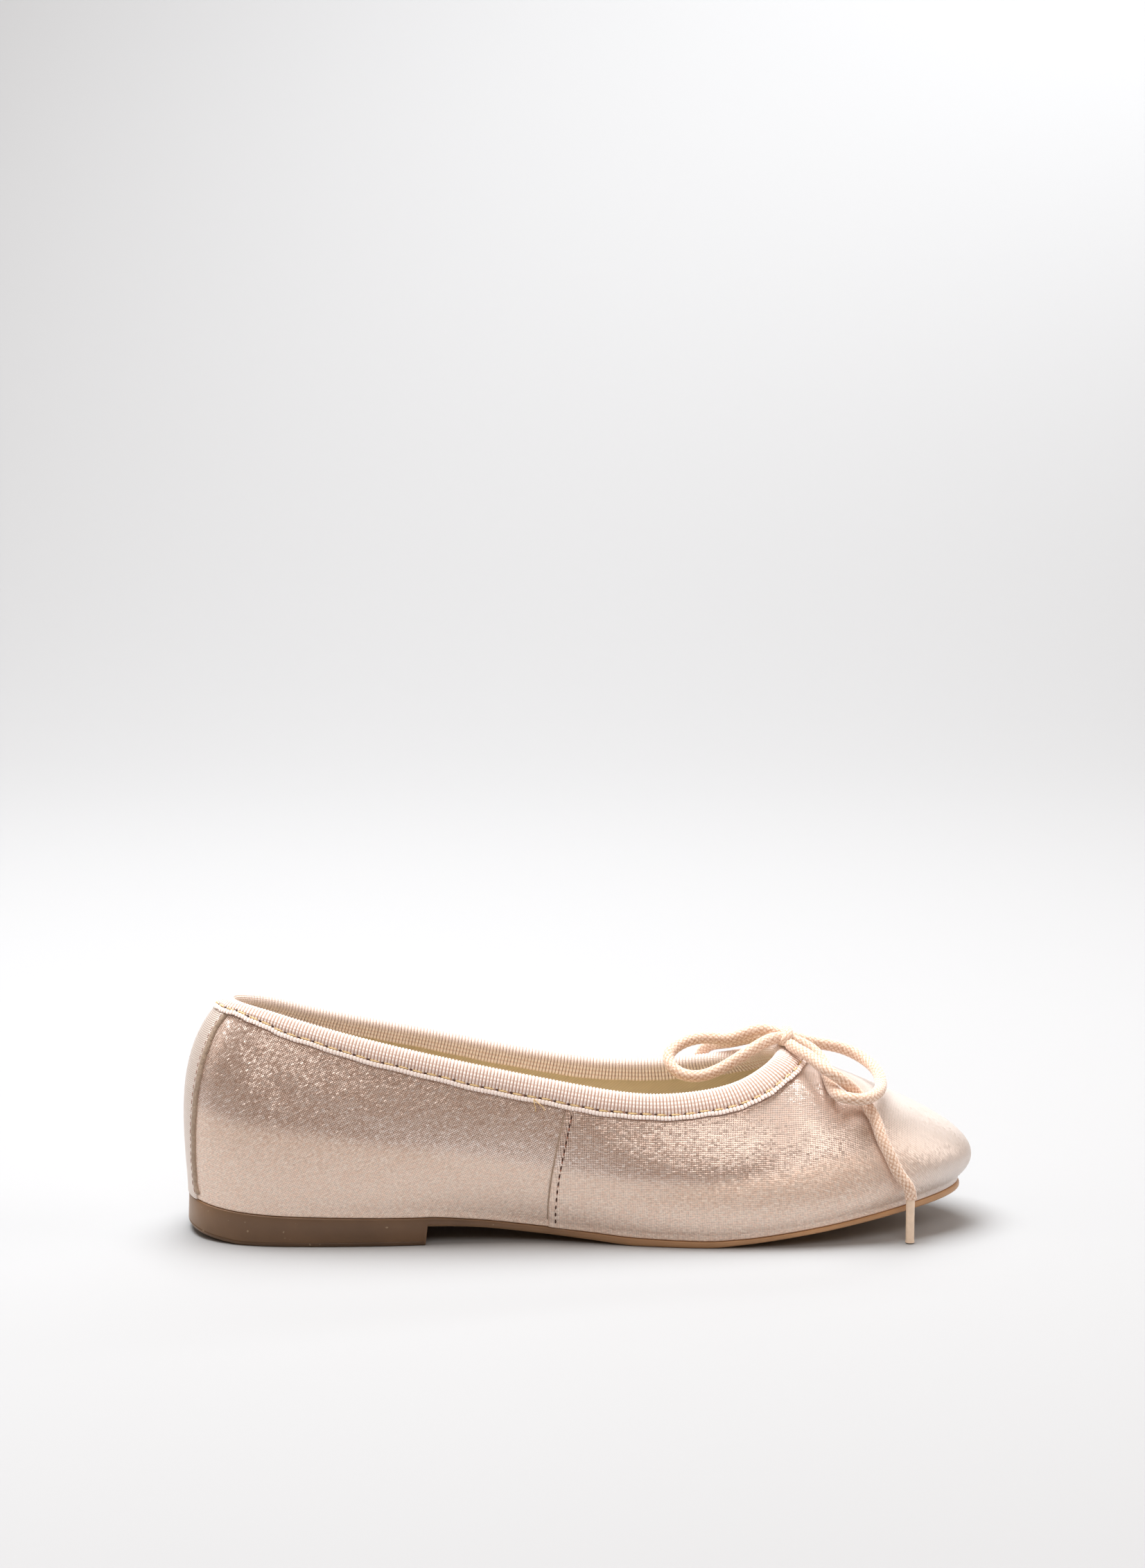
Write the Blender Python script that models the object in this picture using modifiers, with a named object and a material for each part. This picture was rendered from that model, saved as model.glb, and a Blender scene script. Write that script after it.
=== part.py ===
"""Child's ballet flat, left foot: moulded outsole with a low heel, insole, lasted upper, bound topline and a
drawcord tied in a bow. Run with blender --background --python part.py

Lengths are in millimetres here and become metres when a mesh is made. A station is a distance along the
shoe, 0 at the back of the heel and LENGTH at the tip of the toe, which points to +X. "in" is the medial side,
at -Y, and "out" the lateral side, at +Y. The origin is on the floor, under the middle of the shoe.
"""

import math
from collections import namedtuple

import bmesh
import bpy
import numpy as np

MM = 0.001
UP = np.array([0.0, 0.0, 1.0])

# Driving sizes ------------------------------------------------------------------------------------------

LENGTH = 200.0
GAP = 0.3  # air between pieces that touch
WALL = 1.4  # outer material and lining of the upper
MARGIN = 7.0  # lasting margin turned in under the insole
FEATHER = 1.1  # chamfer where the wall turns under
INSOLE = 1.8
INSOLE_BEVEL = 0.4
INSOLE_INSET = 2.1  # of its edge from the feather line
SOLE_LIP = 0.35  # sole edge outside the feather line
TAPE = 0.8  # binding
TAPE_INSIDE = 5.4
CORD = 3.1
CORD_STEP = 3.5
HEEL_BREAST = 61.0
BREAST_SLOPE = 0.6

# One row for each profile of the wall, from the feather line (foot) up to the top edge. swell and rise place
# the profile's lower handle, out from the foot and above it. lean and drop place its upper handle, out from
# the top edge and below it. tape is how far the binding comes down outside.
Profile = namedtuple(
    "Profile",
    "name foot_at foot_in foot_out top_at top_in top_out high_in high_out swell rise lean drop tape",
)
PROFILES = [
    Profile("heel_back", 2.0, 0.0, 0.0, 10.6, 0.0, 0.0, 57.8, 57.8, 0.9, 17.0, 12.0, 12.5, 3.6),
    Profile("strip_edge", 4.6, 10.6, 10.6, 13.0, 6.2, 6.2, 57.7, 57.5, 1.1, 17.0, 11.5, 12.5, 3.6),
    Profile("heel_turn", 12.5, 17.4, 18.0, 19.5, 10.2, 10.2, 56.8, 56.3, 2.0, 16.5, 9.5, 13.0, 3.6),
    Profile("heel_side", 31.0, 21.2, 22.4, 32.0, 14.6, 14.6, 53.7, 52.3, 2.8, 15.0, 6.5, 14.0, 3.8),
    Profile("heel_breast", HEEL_BREAST, 21.4, 24.2, 62.0, 19.4, 19.8, 46.4, 44.6, 4.0, 14.0, 4.0, 13.5, 4.4),
    Profile("side_seam", 91.6, 21.0, 27.3, 96.8, 21.0, 21.4, 39.0, 37.2, 5.0, 12.0, 4.0, 12.0, 4.8),
    Profile("instep", 122.0, 27.0, 32.5, 120.0, 21.2, 21.6, 36.0, 35.4, 4.8, 10.0, 5.0, 11.0, 5.0),
    Profile("ball", 145.0, 28.8, 33.5, 136.5, 18.2, 18.4, 37.4, 37.4, 4.4, 9.8, 8.0, 11.0, 5.6),
    Profile("toe_side", 168.0, 26.0, 28.5, 145.5, 13.0, 13.0, 40.2, 40.2, 5.4, 9.5, 15.0, 11.5, 6.0),
    Profile("toe_turn", 187.0, 17.0, 15.5, 150.8, 7.0, 7.0, 42.8, 42.8, 9.0, 10.2, 28.0, 13.4, 6.2),
    Profile("toe_tip", 197.2, 3.0, -3.0, 152.6, 0.0, 0.0, 43.6, 43.6, 11.8, 11.0, 36.0, 14.4, 6.2),
]
STRIP_EDGE = 1
SIDE_SEAM = 5
BALL = PROFILES[7]
SIDE_SHIFT = (BALL.foot_in - BALL.foot_out) / 2  # brings the middle of the ball's width to y = 0

# Steps in the wall: the back strip, and the vamp's edge over the quarter, which thins forward from its edge.
STRIP_RISE = 0.6
LAP_RISE = 0.5
LAP_FADE = 0.4  # share of the way from the side seam to the instep
STEP_WIDTH = 0.006  # half of a step's width, as a share of the way between two profiles
STEP_CLEAR = 0.5  # from the binding down to where the steps begin to rise
STEP_FADE = 1.5

# Columns and rows of the wall's mesh. A row is a share of the way from the binding down to the feather line.
COLUMNS = 5  # for each profile
WALL_ROWS = (1.0, 0.92, 0.84, 0.74, 0.62, 0.48, 0.32, 0.16, 0.0)

# Sole: height of the seat that the upper stands on, and of the underside.
Sole = namedtuple("Sole", "at seat under")
SOLE = [
    Sole(0.0, 9.6, 2.4),
    Sole(3.0, 9.5, 1.7),
    Sole(9.0, 8.8, 0.7),
    Sole(16.0, 8.1, 0.0),
    Sole(30.0, 7.4, 0.0),
    Sole(HEEL_BREAST, 6.9, 0.0),
    Sole(HEEL_BREAST + BREAST_SLOPE, 6.9, 4.7),
    Sole(72.0, 6.2, 4.3),
    Sole(87.0, 4.5, 2.7),
    Sole(102.0, 2.9, 1.1),
    Sole(114.0, 1.9, 0.0),
    Sole(130.0, 1.6, 0.0),
    Sole(140.0, 2.2, 0.9),
    Sole(150.0, 3.4, 2.2),
    Sole(161.0, 5.0, 3.8),
    Sole(172.0, 6.8, 5.5),
    Sole(183.0, 8.4, 6.9),
    Sole(191.0, 9.3, 7.6),
    Sole(198.0, 10.0, 8.2),
]
SOLE_BEVEL = 0.9
HEEL_FLARE = 0.03  # outward for each millimetre down

# Drawcord, tied in a bow at the front of the throat. Each route is a list of points (station, y, z).
KNOT_AT = (152.9, -2.2, 47.3)
KNOT_SIZE = (3.0, 7.2, 4.2)
ROUTES = {
    "bow_loop_front": [
        (155.1, 0.9, 46.0), (158.5, 1.8, 44.9), (162.8, 2.5, 43.8), (167.2, 3.0, 42.8), (171.3, 2.0, 41.3),
        (174.3, -1.0, 39.8), (176.1, -6.0, 38.3), (176.3, -11.0, 36.8), (174.8, -17.0, 35.9),
        (172.2, -21.4, 35.6), (169.0, -23.8, 35.7), (165.7, -23.2, 36.1), (163.5, -19.8, 36.7),
        (162.8, -15.6, 38.0), (162.4, -12.0, 39.7), (161.7, -7.5, 41.9), (159.3, -4.2, 44.1),
        (155.1, -2.6, 46.0),
    ],
    "bow_loop_rear": [
        (150.3, -0.9, 47.9), (147.7, -0.6, 48.5), (143.7, 0.0, 47.6), (138.5, 1.0, 45.9),
        (132.7, 1.5, 46.0), (128.5, 1.0, 45.4), (125.2, -0.5, 44.1), (123.4, -2.5, 42.7),
        (123.3, -5.0, 41.0), (124.9, -7.0, 39.5), (127.7, -8.4, 38.6), (131.0, -9.0, 38.7),
        (134.4, -8.8, 39.7), (138.1, -8.0, 41.4), (141.9, -7.0, 43.5), (145.6, -5.6, 45.4),
        (149.6, -4.2, 46.9),
    ],
    "cord_end_near": [
        (154.6, -7.7, 45.4), (157.6, -12.6, 44.4), (160.3, -16.8, 42.7), (163.3, -19.6, 41.1),
        (166.4, -19.7, 38.8), (168.8, -18.4, 36.3), (170.5, -18.2, 34.3), (171.8, -19.6, 32.7),
        (173.4, -22.2, 30.1), (174.5, -25.2, 26.5), (176.6, -27.4, 21.9), (178.9, -28.5, 17.3),
        (180.9, -28.8, 14.4), (181.5, -28.8, 12.6),
    ],
    "cord_end_far": [
        (150.9, 2.5, 46.2), (148.3, 4.8, 45.6), (143.6, 9.2, 43.7), (140.4, 12.7, 42.2), (137.8, 16.3, 41.0),
        (135.0, 19.8, 39.2), (132.9, 22.4, 34.8), (131.7, 24.6, 29.4), (131.1, 28.2, 23.4),
        (131.0, 31.6, 18.2), (131.1, 33.7, 15.2), (131.2, 34.2, 12.8),
    ],
}
AGLET = 2.3
AGLET_LENGTH = 11.8
AGLET_GAP = 0.5
AGLET_LIP = 1.05  # its width at the tip, as a multiple


# Curves -------------------------------------------------------------------------------------------------


class Spline:
    """A cubic spline through rows of numbers, smooth to its second derivative. Place 2.5 is halfway from
    row 2 to row 3. A closed one runs on from its last row to its first."""

    def __init__(self, rows, closed):
        self.rows = np.asarray(rows, float)
        self.count = len(rows)
        after = np.roll(self.rows, -1, axis=0)
        self.span = np.linalg.norm((after - self.rows)[:, :5], axis=1)
        before = np.roll(self.span, 1)
        slope = (after - self.rows) / self.span[:, None]
        matrix = np.zeros((self.count, self.count))
        for i in range(self.count):
            matrix[i, i - 1] += before[i]
            matrix[i, i] += 2 * (before[i] + self.span[i])
            matrix[i, (i + 1) % self.count] += self.span[i]
        turn = 6 * (slope - np.roll(slope, 1, axis=0))
        if not closed:
            for end in (0, self.count - 1):
                matrix[end] = np.eye(self.count)[end]
                turn[end] = 0
        self.bend = np.linalg.solve(matrix, turn)

    def at(self, places):
        places = np.asarray(places, float) % self.count
        low = np.floor(places).astype(int) % self.count
        high = (low + 1) % self.count
        b = (places - np.floor(places))[:, None]
        a = 1 - b
        arch = (a**3 - a) * self.bend[low] + (b**3 - b) * self.bend[high]
        return a * self.rows[low] + b * self.rows[high] + self.span[low][:, None] ** 2 / 6 * arch


def smooth_step(share):
    share = np.clip(share, 0, 1)
    return share * share * (3 - 2 * share)


def level_curve(stations, values, at):
    """Cubic through a table's values that never overshoots them, so its level stretches stay level."""
    x, y = np.asarray(stations, float), np.asarray(values, float)
    width, slope = np.diff(x), np.diff(y) / np.diff(x)
    tangent = np.concatenate([slope[:1], np.zeros(len(x) - 2), slope[-1:]])
    same_way = slope[:-1] * slope[1:] > 0
    total = np.where(same_way, slope[:-1] + slope[1:], 1.0)
    tangent[1:-1] = np.where(same_way, 2 * slope[:-1] * slope[1:] / total, 0.0)
    i = np.clip(np.searchsorted(x, at, side="right") - 1, 0, len(x) - 2)
    t = np.clip((at - x[i]) / width[i], 0, 1)
    ends = (1 + 2 * t) * (1 - t) ** 2 * y[i] + t * t * (3 - 2 * t) * y[i + 1]
    return ends + width[i] * t * (1 - t) * ((1 - t) * tangent[i] - t * tangent[i + 1])


def seat_height(at):
    return level_curve([r.at for r in SOLE], [r.seat for r in SOLE], at)


def under_height(at):
    return level_curve([r.at for r in SOLE], [r.under for r in SOLE], at)


def unit(vectors):
    return vectors / np.linalg.norm(vectors, axis=-1, keepdims=True)


# The last's form ----------------------------------------------------------------------------------------


def loop_rows():
    """The profiles in their order round the shoe: heel back, medial side, toe tip, lateral side."""
    medial = [
        (p.foot_at, -p.foot_in, p.top_at, -p.top_in, p.high_in, *p[9:]) for p in PROFILES
    ]
    lateral = [
        (p.foot_at, p.foot_out, p.top_at, p.top_out, p.high_out, *p[9:]) for p in PROFILES[-2:0:-1]
    ]
    return medial + lateral


ROUND = Spline(loop_rows(), closed=True)
TOE = len(PROFILES) - 1
NUDGE = 0.01


def foot_line(places):
    table = ROUND.at(places)
    foot_at, foot_y = table[:, 0], table[:, 1]
    height = seat_height(foot_at) + GAP
    return np.stack([foot_at - LENGTH / 2, foot_y + SIDE_SHIFT, height], axis=1)


def top_line(places):
    table = ROUND.at(places)
    return np.stack([table[:, 2] - LENGTH / 2, table[:, 3] + SIDE_SHIFT, table[:, 4]], axis=1)


def tape_depth(places):
    """How far the binding comes down the outside."""
    return ROUND.at(places)[:, 9]


def direction(line, places):
    return unit(line(places + NUDGE) - line(places - NUDGE))


def level_out(tangent):
    """Level unit vectors square to the tangents of a line that runs anticlockwise seen from above."""
    return unit(np.stack([tangent[:, 1], -tangent[:, 0], np.zeros(len(tangent))], axis=1))


def controls(places):
    """The four control points of each wall profile."""
    places = np.asarray(places, float)
    swell, rise, lean, drop = ROUND.at(places)[:, 5:9].T[:, :, None]
    foot, top = foot_line(places), top_line(places)
    foot_out = level_out(direction(foot_line, places))
    edge = direction(top_line, places)
    top_out = level_out(edge)
    fall = np.cross(top_out, edge)
    return (
        foot + FEATHER * UP,
        foot + swell * foot_out + rise * UP,
        top + lean * top_out - drop * fall,
        top,
    )


def bezier(points, share):
    a, b = 1 - share, share
    return (
        a**3 * points[0]
        + 3 * a * a * b * points[1]
        + 3 * a * b * b * points[2]
        + b**3 * points[3]
    )


class Wall:
    """Fine columns of the wall's outer face at given places, read by their distance below the top edge."""

    FINE = 90

    def __init__(self, places):
        places = np.asarray(places, float)
        share = np.linspace(1, 0, self.FINE)[:, None, None]
        self.points = bezier(controls(places), share)
        across = bezier(controls(places + NUDGE), share) - bezier(controls(places - NUDGE), share)
        upward = -np.gradient(self.points, axis=0)
        self.normals = unit(np.cross(across, upward))
        step = np.linalg.norm(np.diff(self.points, axis=0), axis=2)
        self.depth = np.vstack([np.zeros(len(places)), np.cumsum(step, axis=0)])
        self.height = self.depth[-1]
        self.upward = unit(upward[0])
        self.columns = len(places)

    def below(self, depth, proud=0.0):
        """Points at a distance below the top edge, standing proud of the wall."""
        depth = np.broadcast_to(depth, (self.columns,))
        point = np.zeros((self.columns, 3))
        normal = np.zeros((self.columns, 3))
        for c in range(self.columns):
            for k in range(3):
                point[c, k] = np.interp(depth[c], self.depth[:, c], self.points[:, c, k])
                normal[c, k] = np.interp(depth[c], self.depth[:, c], self.normals[:, c, k])
        over = np.minimum(depth, 0)[:, None]
        return point - over * self.upward + np.reshape(proud, (-1, 1)) * unit(normal)


# Meshes -------------------------------------------------------------------------------------------------


def material(name, hex_colour, roughness, metallic=0.0):
    made = bpy.data.materials.new(name)
    made.use_nodes = True
    shader = made.node_tree.nodes["Principled BSDF"]
    parts = [int(hex_colour[i : i + 2], 16) / 255 for i in (0, 2, 4)]
    linear = [c / 12.92 if c <= 0.04045 else ((c + 0.055) / 1.055) ** 2.4 for c in parts]
    shader.inputs["Base Color"].default_value = (*linear, 1.0)
    shader.inputs["Roughness"].default_value = roughness
    shader.inputs["Metallic"].default_value = metallic
    made.diffuse_color = (*linear, 1.0)
    return made


def mesh_object(name, points, faces, finish):
    mesh = bpy.data.meshes.new(name)
    mesh.from_pydata((np.asarray(points) * MM).tolist(), [], faces)
    mesh.materials.append(finish)
    mesh.shade_smooth()
    mesh.set_sharp_from_angle(angle=math.radians(40))
    obj = bpy.data.objects.new(name, mesh)
    SHOE.objects.link(obj)
    return obj


def ring_faces(rings, size, closed=False):
    """Quads between closed rings of points. closed also joins the last ring to the first."""
    faces = []
    for r in range(rings if closed else rings - 1):
        low, high = r * size, (r + 1) % rings * size
        faces += [(low + c, low + (c + 1) % size, high + (c + 1) % size, high + c) for c in range(size)]
    return faces


def plate(name, rings, finish):
    """A plate from rings listed top to bottom. Each ring runs heel tip, medial side, toe tip, lateral side,
    with the same stations on both sides, so that strips across it close its two faces."""
    size = len(rings[0])
    half = size // 2
    last = (len(rings) - 1) * size
    faces = [face[::-1] for face in ring_faces(len(rings), size)]
    for k in range(half):
        near, far = (k, k + 1), ((size - k - 1) % size, (size - k) % size)
        top = list(dict.fromkeys([near[0], near[1], far[0], far[1]]))
        faces.append(tuple(top))
        faces.append(tuple(last + i for i in reversed(top)))
    return mesh_object(name, np.concatenate(rings), faces, finish)


# Pieces -------------------------------------------------------------------------------------------------


def paired_places(stations):
    """Places round the shoe for the ring that a plate needs, from stations between its two tips."""
    fine = np.linspace(0, TOE, 2001)
    medial = np.interp(stations, ROUND.at(fine)[:, 0], fine)
    lateral = np.interp(stations, ROUND.at(-fine)[:, 0], fine)
    return np.concatenate([[0], medial, [TOE], -lateral[::-1]])


def spaced_stations(count, extra=()):
    """Stations that crowd towards the two round ends."""
    first, final = PROFILES[0].foot_at, PROFILES[-1].foot_at
    turn = np.linspace(0, math.pi, count + 2)[1:-1]
    spread = first + (final - first) * (1 - np.cos(turn)) / 2
    clear = [s for s in spread if all(abs(s - e) > 1.0 for e in extra)]
    return np.array(sorted([*clear, *extra]))


def sole_edge(places, out, lift=GAP):
    """A line beside the feather line, lift above the seat there."""
    line = foot_line(places) + np.reshape(out, (-1, 1)) * level_out(direction(foot_line, places))
    line[:, 2] = seat_height(line[:, 0] + LENGTH / 2) + lift
    return line


def make_outsole():
    """One moulded unit: thin forepart and shank, and a low heel that widens a little downwards."""
    flat = [r.at for r in SOLE if r.under == 0.0] + [HEEL_BREAST + BREAST_SLOPE]
    places = paired_places(spaced_stations(46, flat))
    foot = foot_line(places)
    at = foot[:, 0] + LENGTH / 2
    seat, under = seat_height(at), under_height(at)
    bevel = np.minimum(SOLE_BEVEL, 0.4 * (seat - under))
    flare = SOLE_LIP + HEEL_FLARE * (seat - under)
    rings = [
        (np.full(len(at), SOLE_LIP), seat),
        (flare, under + bevel),
        (flare - bevel, under),
    ]
    made = []
    for out, height in rings:
        ring = sole_edge(places, out)
        ring[:, 2] = height
        made.append(ring)
    return plate("outsole", made, material("brown_rubber", "A08A78", 0.45))


def make_insole():
    places = paired_places(spaced_stations(34))
    rings = []
    under = WALL + 2 * GAP
    for bevel, lift in ((INSOLE_BEVEL, INSOLE), (0.0, INSOLE - INSOLE_BEVEL), (0.0, 0.0)):
        rings.append(sole_edge(places, -INSOLE_INSET - bevel, under + lift))
    return plate("insole", rings, material("insole_sock", "D9C7A8", 0.8))


def column_places():
    return np.arange(ROUND.count * COLUMNS) / COLUMNS


def wall_steps(places):
    """Height of the wall's raised pieces above its smooth form."""
    side = np.minimum(places % ROUND.count, -places % ROUND.count)
    strip = STRIP_RISE * (side < STRIP_EDGE)
    past = side - SIDE_SEAM
    lap = LAP_RISE * (1 - smooth_step(past / LAP_FADE)) * (past >= 0)
    return strip + lap


def make_upper():
    """Wall with its lasting margin turned in, open at the topline and underneath."""
    seams = np.array([STRIP_EDGE, SIDE_SEAM, -SIDE_SEAM, -STRIP_EDGE]) % ROUND.count
    clear = np.setdiff1d(column_places(), seams)
    places = np.sort(np.concatenate([clear, seams - STEP_WIDTH, seams + STEP_WIDTH]))
    wall = Wall(places)
    steps = wall_steps(places)
    covered = tape_depth(places) + STEP_CLEAR
    bare = wall.height - covered - STEP_FADE
    rings = [(sole_edge(places, -MARGIN), 0), (sole_edge(places, -FEATHER), 0)]
    for share in WALL_ROWS:
        raised = steps * (share > 0)
        rings.append((wall.below(covered + STEP_FADE + share * bare, raised), raised))
    rings += [(wall.below(covered), 0), (wall.below(0.0), 0)]
    points = np.concatenate([ring for ring, _ in rings])
    faces = ring_faces(len(rings), len(places))
    obj = mesh_object("upper", points, faces, material("foil_leather", "B98F80", 0.4, 0.6))
    most = WALL + STRIP_RISE
    group = obj.vertex_groups.new(name="wall")
    for r, (_, raised) in enumerate(rings):
        thickness = (WALL + np.broadcast_to(raised, (len(places),))) / most
        for c, weight in enumerate(thickness):
            group.add([r * len(places) + c], float(weight), "REPLACE")
    shell = obj.modifiers.new("wall", "SOLIDIFY")
    shell.thickness = most * MM
    shell.offset = -1
    shell.use_even_offset = True
    shell.vertex_group = group.name
    return obj


def make_binding():
    """Ribbon folded over the top edge, clear of both faces of the wall."""
    places = column_places()
    wall = Wall(places)
    inner, outer = WALL / 2 + GAP, WALL / 2 + GAP + TAPE
    over = np.linspace(0, math.pi, 5)
    outside = tape_depth(places)
    section = [(outside, outer)]
    section += [(-outer * math.sin(a), outer * math.cos(a)) for a in over]
    section += [(TAPE_INSIDE, -outer), (TAPE_INSIDE, -inner)]
    section += [(-inner * math.sin(a), inner * math.cos(a)) for a in over[::-1]]
    section += [(outside, inner)]
    rings = [wall.below(depth, across - WALL / 2) for depth, across in section]
    faces = ring_faces(len(rings), len(places), closed=True)
    points = np.concatenate(rings)
    return mesh_object("topline_binding", points, faces, material("ribbon", "B9A596", 0.75))


def make_cord(name, finish):
    """A tube along its route."""
    route = Spline(np.array(ROUTES[name]) - (LENGTH / 2, 0, 0), closed=False)
    fine = route.at(np.linspace(0, route.count - 1, 20 * route.count))
    along = np.concatenate([[0], np.cumsum(np.linalg.norm(np.diff(fine, axis=0), axis=1))])
    even = np.linspace(0, along[-1], round(along[-1] / CORD_STEP) + 1)
    curve = bpy.data.curves.new(name, "CURVE")
    curve.dimensions = "3D"
    curve.bevel_depth = CORD / 2 * MM
    curve.bevel_resolution = 2
    curve.use_fill_caps = True
    curve.materials.append(finish)
    line = curve.splines.new("POLY")
    line.points.add(len(even) - 1)
    for point, distance in zip(line.points, even):
        x, y, z = (np.interp(distance, along, fine[:, k]) * MM for k in range(3))
        point.co = (x, y, z, 1)
    SHOE.objects.link(bpy.data.objects.new(name, curve))


def primitive_object(name, place, finish, make, **sizes):
    """An object at a place, from one of bmesh's primitives."""
    mesh = bpy.data.meshes.new(name)
    shape = bmesh.new()
    make(shape, **sizes)
    shape.to_mesh(mesh)
    shape.free()
    mesh.materials.append(finish)
    mesh.shade_smooth()
    mesh.set_sharp_from_angle(angle=math.radians(40))
    obj = bpy.data.objects.new(name, mesh)
    obj.location = [c * MM for c in place]
    SHOE.objects.link(obj)
    return obj


def make_knot(finish):
    at, y, z = KNOT_AT
    place = (at - LENGTH / 2, y, z)
    knot = primitive_object(
        "bow_knot", place, finish, bmesh.ops.create_uvsphere, u_segments=16, v_segments=10, radius=MM / 2
    )
    knot.scale = KNOT_SIZE


def make_aglet(name, cord, finish):
    """A moulded tip, hanging straight down from the end of its cord."""
    at, y, z = ROUTES[cord][-1]
    place = (at - LENGTH / 2, y, z - AGLET_GAP - AGLET_LENGTH / 2)
    primitive_object(
        name,
        place,
        finish,
        bmesh.ops.create_cone,
        cap_ends=True,
        segments=16,
        radius1=AGLET_LIP * AGLET / 2 * MM,
        radius2=AGLET / 2 * MM,
        depth=AGLET_LENGTH * MM,
    )


# Scene --------------------------------------------------------------------------------------------------

for old in list(bpy.data.objects):
    bpy.data.objects.remove(old)
SHOE = bpy.data.collections.new("ballet_flat")
bpy.context.scene.collection.children.link(SHOE)

make_outsole()
make_insole()
make_upper()
make_binding()

COTTON = material("cotton_cord", "D2AE90", 0.9)
for cord_name in ROUTES:
    make_cord(cord_name, COTTON)
make_knot(COTTON)
TIP = material("aglet", "E0CDBC", 0.4)
make_aglet("aglet_near", "cord_end_near", TIP)
make_aglet("aglet_far", "cord_end_far", TIP)
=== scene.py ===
"""The looks of a child's ballet flat, left foot: foil cloth panels, ribbed binding, lining, moulded sole,
sock and a braided drawcord tied in a bow. Lengths are in millimetres and become metres when a mesh is made.

The wall is a closed loop of upright profiles. A place counts along that loop: 0 at the back of the heel,
round the medial side (-Y) to the toe and back along the lateral side (+Y). A station is a distance from the
back of the heel. A depth is a distance below the wall's top edge, and proud is a height above its outer
face."""

import math
from collections import namedtuple

import bpy
import numpy as np
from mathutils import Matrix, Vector


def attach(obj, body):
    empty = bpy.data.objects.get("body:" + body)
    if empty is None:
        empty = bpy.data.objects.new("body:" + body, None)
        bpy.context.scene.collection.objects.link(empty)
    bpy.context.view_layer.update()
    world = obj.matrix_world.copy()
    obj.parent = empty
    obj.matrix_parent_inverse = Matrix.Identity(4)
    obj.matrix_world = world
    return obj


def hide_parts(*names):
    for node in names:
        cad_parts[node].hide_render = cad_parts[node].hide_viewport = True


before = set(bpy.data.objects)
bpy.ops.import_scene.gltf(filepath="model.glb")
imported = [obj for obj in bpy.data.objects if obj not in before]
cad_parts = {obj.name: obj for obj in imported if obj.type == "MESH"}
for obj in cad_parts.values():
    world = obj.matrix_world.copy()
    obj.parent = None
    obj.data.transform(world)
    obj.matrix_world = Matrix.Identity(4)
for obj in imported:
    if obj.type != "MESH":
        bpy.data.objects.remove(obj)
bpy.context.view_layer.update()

MM = 0.001
UP = np.array([0.0, 0.0, 1.0])
X, Y, Z = np.eye(3)

# The shoe's sizes, as in its solids ---------------------------------------------------------------------

LENGTH = 200.0
GAP = 0.3
WALL = 1.4
FEATHER = 1.1
SOLE_LIP = 0.35
SOLE_BEVEL = 0.9
HEEL_FLARE = 0.03
CORD = 3.1
HEEL_BREAST = 61.0
BREAST_SLOPE = 0.6
STRIP_RISE = 0.6
LAP_RISE = 0.5
LAP_FADE = 0.4

Profile = namedtuple(
    "Profile",
    "name foot_at foot_in foot_out top_at top_in top_out high_in high_out swell rise lean drop tape",
)
PROFILES = [
    Profile("heel_back", 2.0, 0.0, 0.0, 10.6, 0.0, 0.0, 57.8, 57.8, 0.9, 17.0, 12.0, 12.5, 3.6),
    Profile("strip_edge", 4.6, 10.6, 10.6, 13.0, 6.2, 6.2, 57.7, 57.5, 1.1, 17.0, 11.5, 12.5, 3.6),
    Profile("heel_turn", 12.5, 17.4, 18.0, 19.5, 10.2, 10.2, 56.8, 56.3, 2.0, 16.5, 9.5, 13.0, 3.6),
    Profile("heel_side", 31.0, 21.2, 22.4, 32.0, 14.6, 14.6, 53.7, 52.3, 2.8, 15.0, 6.5, 14.0, 3.8),
    Profile("heel_breast", HEEL_BREAST, 21.4, 24.2, 62.0, 19.4, 19.8, 46.4, 44.6, 4.0, 14.0, 4.0, 13.5, 4.4),
    Profile("side_seam", 91.6, 21.0, 27.3, 96.8, 21.0, 21.4, 39.0, 37.2, 5.0, 12.0, 4.0, 12.0, 4.8),
    Profile("instep", 122.0, 27.0, 32.5, 120.0, 21.2, 21.6, 36.0, 35.4, 4.8, 10.0, 5.0, 11.0, 5.0),
    Profile("ball", 145.0, 28.8, 33.5, 136.5, 18.2, 18.4, 37.4, 37.4, 4.4, 9.8, 8.0, 11.0, 5.6),
    Profile("toe_side", 168.0, 26.0, 28.5, 145.5, 13.0, 13.0, 40.2, 40.2, 5.4, 9.5, 15.0, 11.5, 6.0),
    Profile("toe_turn", 187.0, 17.0, 15.5, 150.8, 7.0, 7.0, 42.8, 42.8, 9.0, 10.2, 28.0, 13.4, 6.2),
    Profile("toe_tip", 197.2, 3.0, -3.0, 152.6, 0.0, 0.0, 43.6, 43.6, 11.8, 11.0, 36.0, 14.4, 6.2),
]
STRIP_EDGE = 1
SIDE_SEAM = 5
TOE = len(PROFILES) - 1
BALL = PROFILES[7]
SIDE_SHIFT = (BALL.foot_in - BALL.foot_out) / 2

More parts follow.
